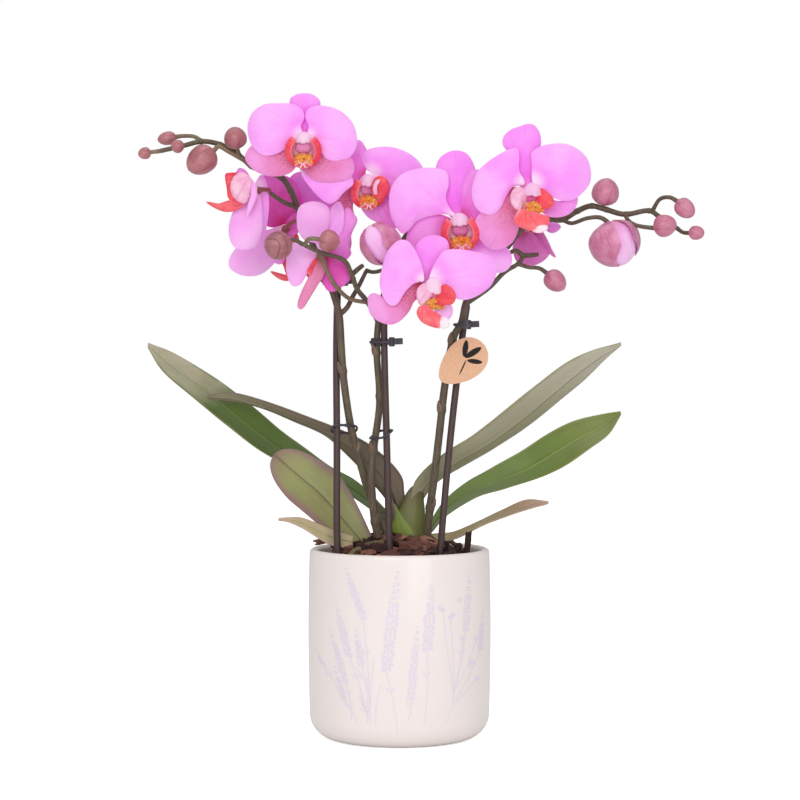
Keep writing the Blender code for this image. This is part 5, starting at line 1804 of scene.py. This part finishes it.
def buildClip(node, stick, stalk, height, banded):
    level = rimHeight + height * mm
    onStick = heightPoint(smoothPath(plantPoints(stickRoutes[stick]), 14), level)
    onStalk = heightPoint(smoothPath(plantPoints(stalkRoutes[stalk]["main"]), 14), level)
    apart = onStick - onStalk
    apart.z = 0
    longWay = apart.normalized()
    shortWay = Vector((-longWay.y, longWay.x, 0))
    wire = clipShape["band" if banded else "wire"]
    room = stickRadius + wire + clipShape["slack"]
    middle = (onStick + onStalk) / 2
    steps = clipShape["steps"]
    loop = []
    for i in range(steps):
        turn = math.tau * (i + 0.5) / steps
        end = longWay * (apart.length / 2 * math.tanh(4 * math.cos(turn)))
        loop.append(middle + end + longWay * (math.cos(turn) * room) + shortWay * (math.sin(turn) * room))
        if not banded:
            loop[-1].z += clipShape["tilt"] * (0.55 * math.cos(turn) + math.sin(turn))
    parts = [makeTube(node, loop, [wire] * steps, looks["clip"], 3, True)]
    flat = Matrix((longWay, shortWay, Vector((0, 0, 1)))).transposed()
    if banded:
        right = longWay if longWay.x > 0 else -longWay
        outer = middle + right * (apart.length / 2 + room)
        inner = middle * 2 - outer
        tail = outer + Vector((clipShape["tail"][0] / 2 - 0.001, -0.001, 0.0004))
        parts.append(buildBlock(node, clipShape["tail"], tail, Matrix.Rotation(-0.05, 3, "Y")))
        parts.append(buildBlock(node, clipShape["latch"], outer + Vector((0.0015, -0.001, 0.0002)), flat))
        parts.append(buildBlock(node, clipShape["block"], inner + Vector((0.0030, -0.0020, 0)), flat))
    else:
        for sign in (-1, 1):
            end = middle + shortWay * (sign * room) + Vector((0, 0, sign * clipShape["tilt"]))
            parts.append(buildBlock(node, clipShape["wireBlock"], end, flat))
    settle(joinPieces(parts, node.replace("_", "")), "clip_plastic", [node], 40)


tagShape = {
    "length": 0.0322, "width": 0.0222, "thickness": 0.0014, "place": (35.8, -26.5, 108.4), "lean": 49,
    "inkRise": 0.00008,
    "taper": 0.25, "blunt": 0.03, "bevel": 0.0003, "clear": 0.0008, "cord": 0.0007, "neck": 0.0008,
    "ringSteps": 32,
    "sprig": [
        (1.6, 3.2, 9.5, 3.0, 58), (-0.6, 4.4, 8.5, 2.8, 8), (3.6, -0.6, 7.5, 2.4, 98),
        (0.6, -1.2, 8.5, 0.7, 205),
    ],
}


def buildTag():
    values = tagShape
    place = plantPoint(values["place"])
    lean = Matrix.Rotation(math.radians(values["lean"]), 3, "Y")

    def eggPoint(turn, scale, depth):
        cosine = math.cos(turn)
        half = values["width"] / 2 * (1 + values["taper"] * cosine - values["blunt"] * cosine * cosine)
        return place + lean @ Vector((
            half * math.sin(turn) * scale, depth, values["length"] / 2 * cosine * scale,
        ))

    def card(x, y):
        turn = math.atan2(x, y)
        scale = max(abs(x), abs(y))
        return eggPoint(turn, scale, values["thickness"] / 2)

    sheet = makeSheet("plantTag", 40, 40, card, [looks["kraft"]], values["thickness"])
    sharp = math.radians(50)
    applyModifier(sheet, "BEVEL", width=values["bevel"], segments=2, limit_method="ANGLE", angle_limit=sharp)
    grip = heightPoint(smoothPath(plantPoints(stickRoutes["support_stick_right"]), 14), place.z)
    room = stickRadius + values["clear"]
    steps = values["ringSteps"]
    turns = [math.tau * i / steps for i in range(steps)]
    loop = [grip + Vector((math.cos(turn), math.sin(turn), 0)) * room for turn in turns]
    ring = makeTube("tagRing", loop, [values["cord"]] * steps, looks["kraft"], 3, True)
    start = grip - Vector((0, room, 0))
    neckEnd = Vector((start.x, place.y + values["thickness"] / 2, start.z))
    way = [start, start.lerp(neckEnd, 0.5), neckEnd]
    neck = makeTube("tagNeck", way, [values["neck"]] * 3, looks["kraft"], 3)
    settle(joinPieces([sheet, ring, neck], "plantTag"), "tag_kraft", ["plant_tag"], 40)
    bm = bmesh.new()
    # A plain three-leaf sprig in ink
    for x, z, length, width, angle in values["sprig"]:
        turn = Matrix.Rotation(math.radians(angle), 3, "Y")
        ring = []
        for k in range(24):
            share = math.tau * k / 24
            wide = width / 2 * math.sin(share) * abs(math.sin(share)) ** 0.2
            point = turn @ Vector((wide, 0, -length / 2 * math.cos(share) + length * 0.4))
            at = Vector((point.x * 1.15 + x * 0.6 + 1.6, 0, point.z * 1.15 + z * 0.6 + 1.4)) * mm
            ring.append(bm.verts.new(place + at + Vector((0, -values["inkRise"], 0))))
        bm.faces.new(ring)
    bmesh.ops.recalc_face_normals(bm, faces=bm.faces)
    for face in bm.faces:
        if face.normal.y > 0:
            face.normal_flip()
    mesh = bpy.data.meshes.new("tagMotif")
    bm.to_mesh(mesh)
    bm.free()
    motif = bpy.data.objects.new("tagMotif", mesh)
    bpy.context.scene.collection.objects.link(motif)
    mesh.materials.append(looks["ink"])
    settle(motif, "tag_kraft")


for node, values in clipSet.items():
    buildClip(node, *values)
buildTag()
print("clips and tag made")


# Floor, light and camera

studio = {
    "floor": 3.0, "worldLight": 0.55, "camera": (0, -1.283, 0.2215), "tilt": 43 / 2200, "lens": 99,
    "shift": 0.5 / 800,
}
lamps = {
    "keyLight": ((-0.3, -1.3, 0.7), 0.7, 5.0), "fillLight": ((0.55, -1.2, 0.35), 0.7, 2.2),
    "topLight": ((0.0, 0.0, 1.5), 1.0, 3.4),
}


def buildStudio():
    clearSelection()
    bpy.ops.mesh.primitive_circle_add(
        vertices=96, radius=studio["floor"], fill_type="NGON", location=(0, 0, -0.0002),
    )
    floor = bpy.context.active_object
    floor.name = "floor"
    look, tree, shader = newLook("floorWhite", 0.9, 0.1)
    useTone(
        tree, shader,
        mixTone(tree, cloud(tree, bodyPlace(tree), 3.0), tone(250, 250, 250), tone(253, 253, 253)),
    )
    shader.inputs["Emission Color"].default_value = (1, 1, 1, 1)
    glow = fade(tree, put(tree, "ShaderNodeLightPath", {}).outputs["Is Camera Ray"], 0.0, 1.0, 0.0, 0.7)
    tree.links.new(glow, shader.inputs["Emission Strength"])
    floor.data.materials.append(look)
    world = bpy.data.worlds.new("studio")
    world.use_nodes = True
    bpy.context.scene.world = world
    tree = world.node_tree
    seen = put(tree, "ShaderNodeLightPath", {}).outputs["Is Camera Ray"]
    strength = fade(tree, seen, 0.0, 1.0, studio["worldLight"], 1.0)
    background = tree.nodes["Background"]
    background.inputs["Color"].default_value = (1, 1, 1, 1)
    tree.links.new(strength, background.inputs["Strength"])
    for name, (place, size, power) in lamps.items():
        data = bpy.data.lights.new(name, "AREA")
        data.size = size
        data.energy = power
        lamp = bpy.data.objects.new(name, data)
        lamp.location = place
        lamp.rotation_euler = (Vector((0, 0, 0.18)) - Vector(place)).to_track_quat("-Z", "Y").to_euler()
        bpy.context.scene.collection.objects.link(lamp)
    data = bpy.data.cameras.new("camera")
    data.lens = studio["lens"]
    data.sensor_width = 36
    data.shift_x = studio["shift"]
    camera = bpy.data.objects.new("camera", data)
    camera.location = studio["camera"]
    camera.rotation_euler = (math.pi / 2 - math.atan(studio["tilt"]), 0, 0)
    bpy.context.scene.collection.objects.link(camera)
    bpy.context.scene.camera = camera
    bpy.context.scene.view_settings.view_transform = "Standard"


buildStudio()
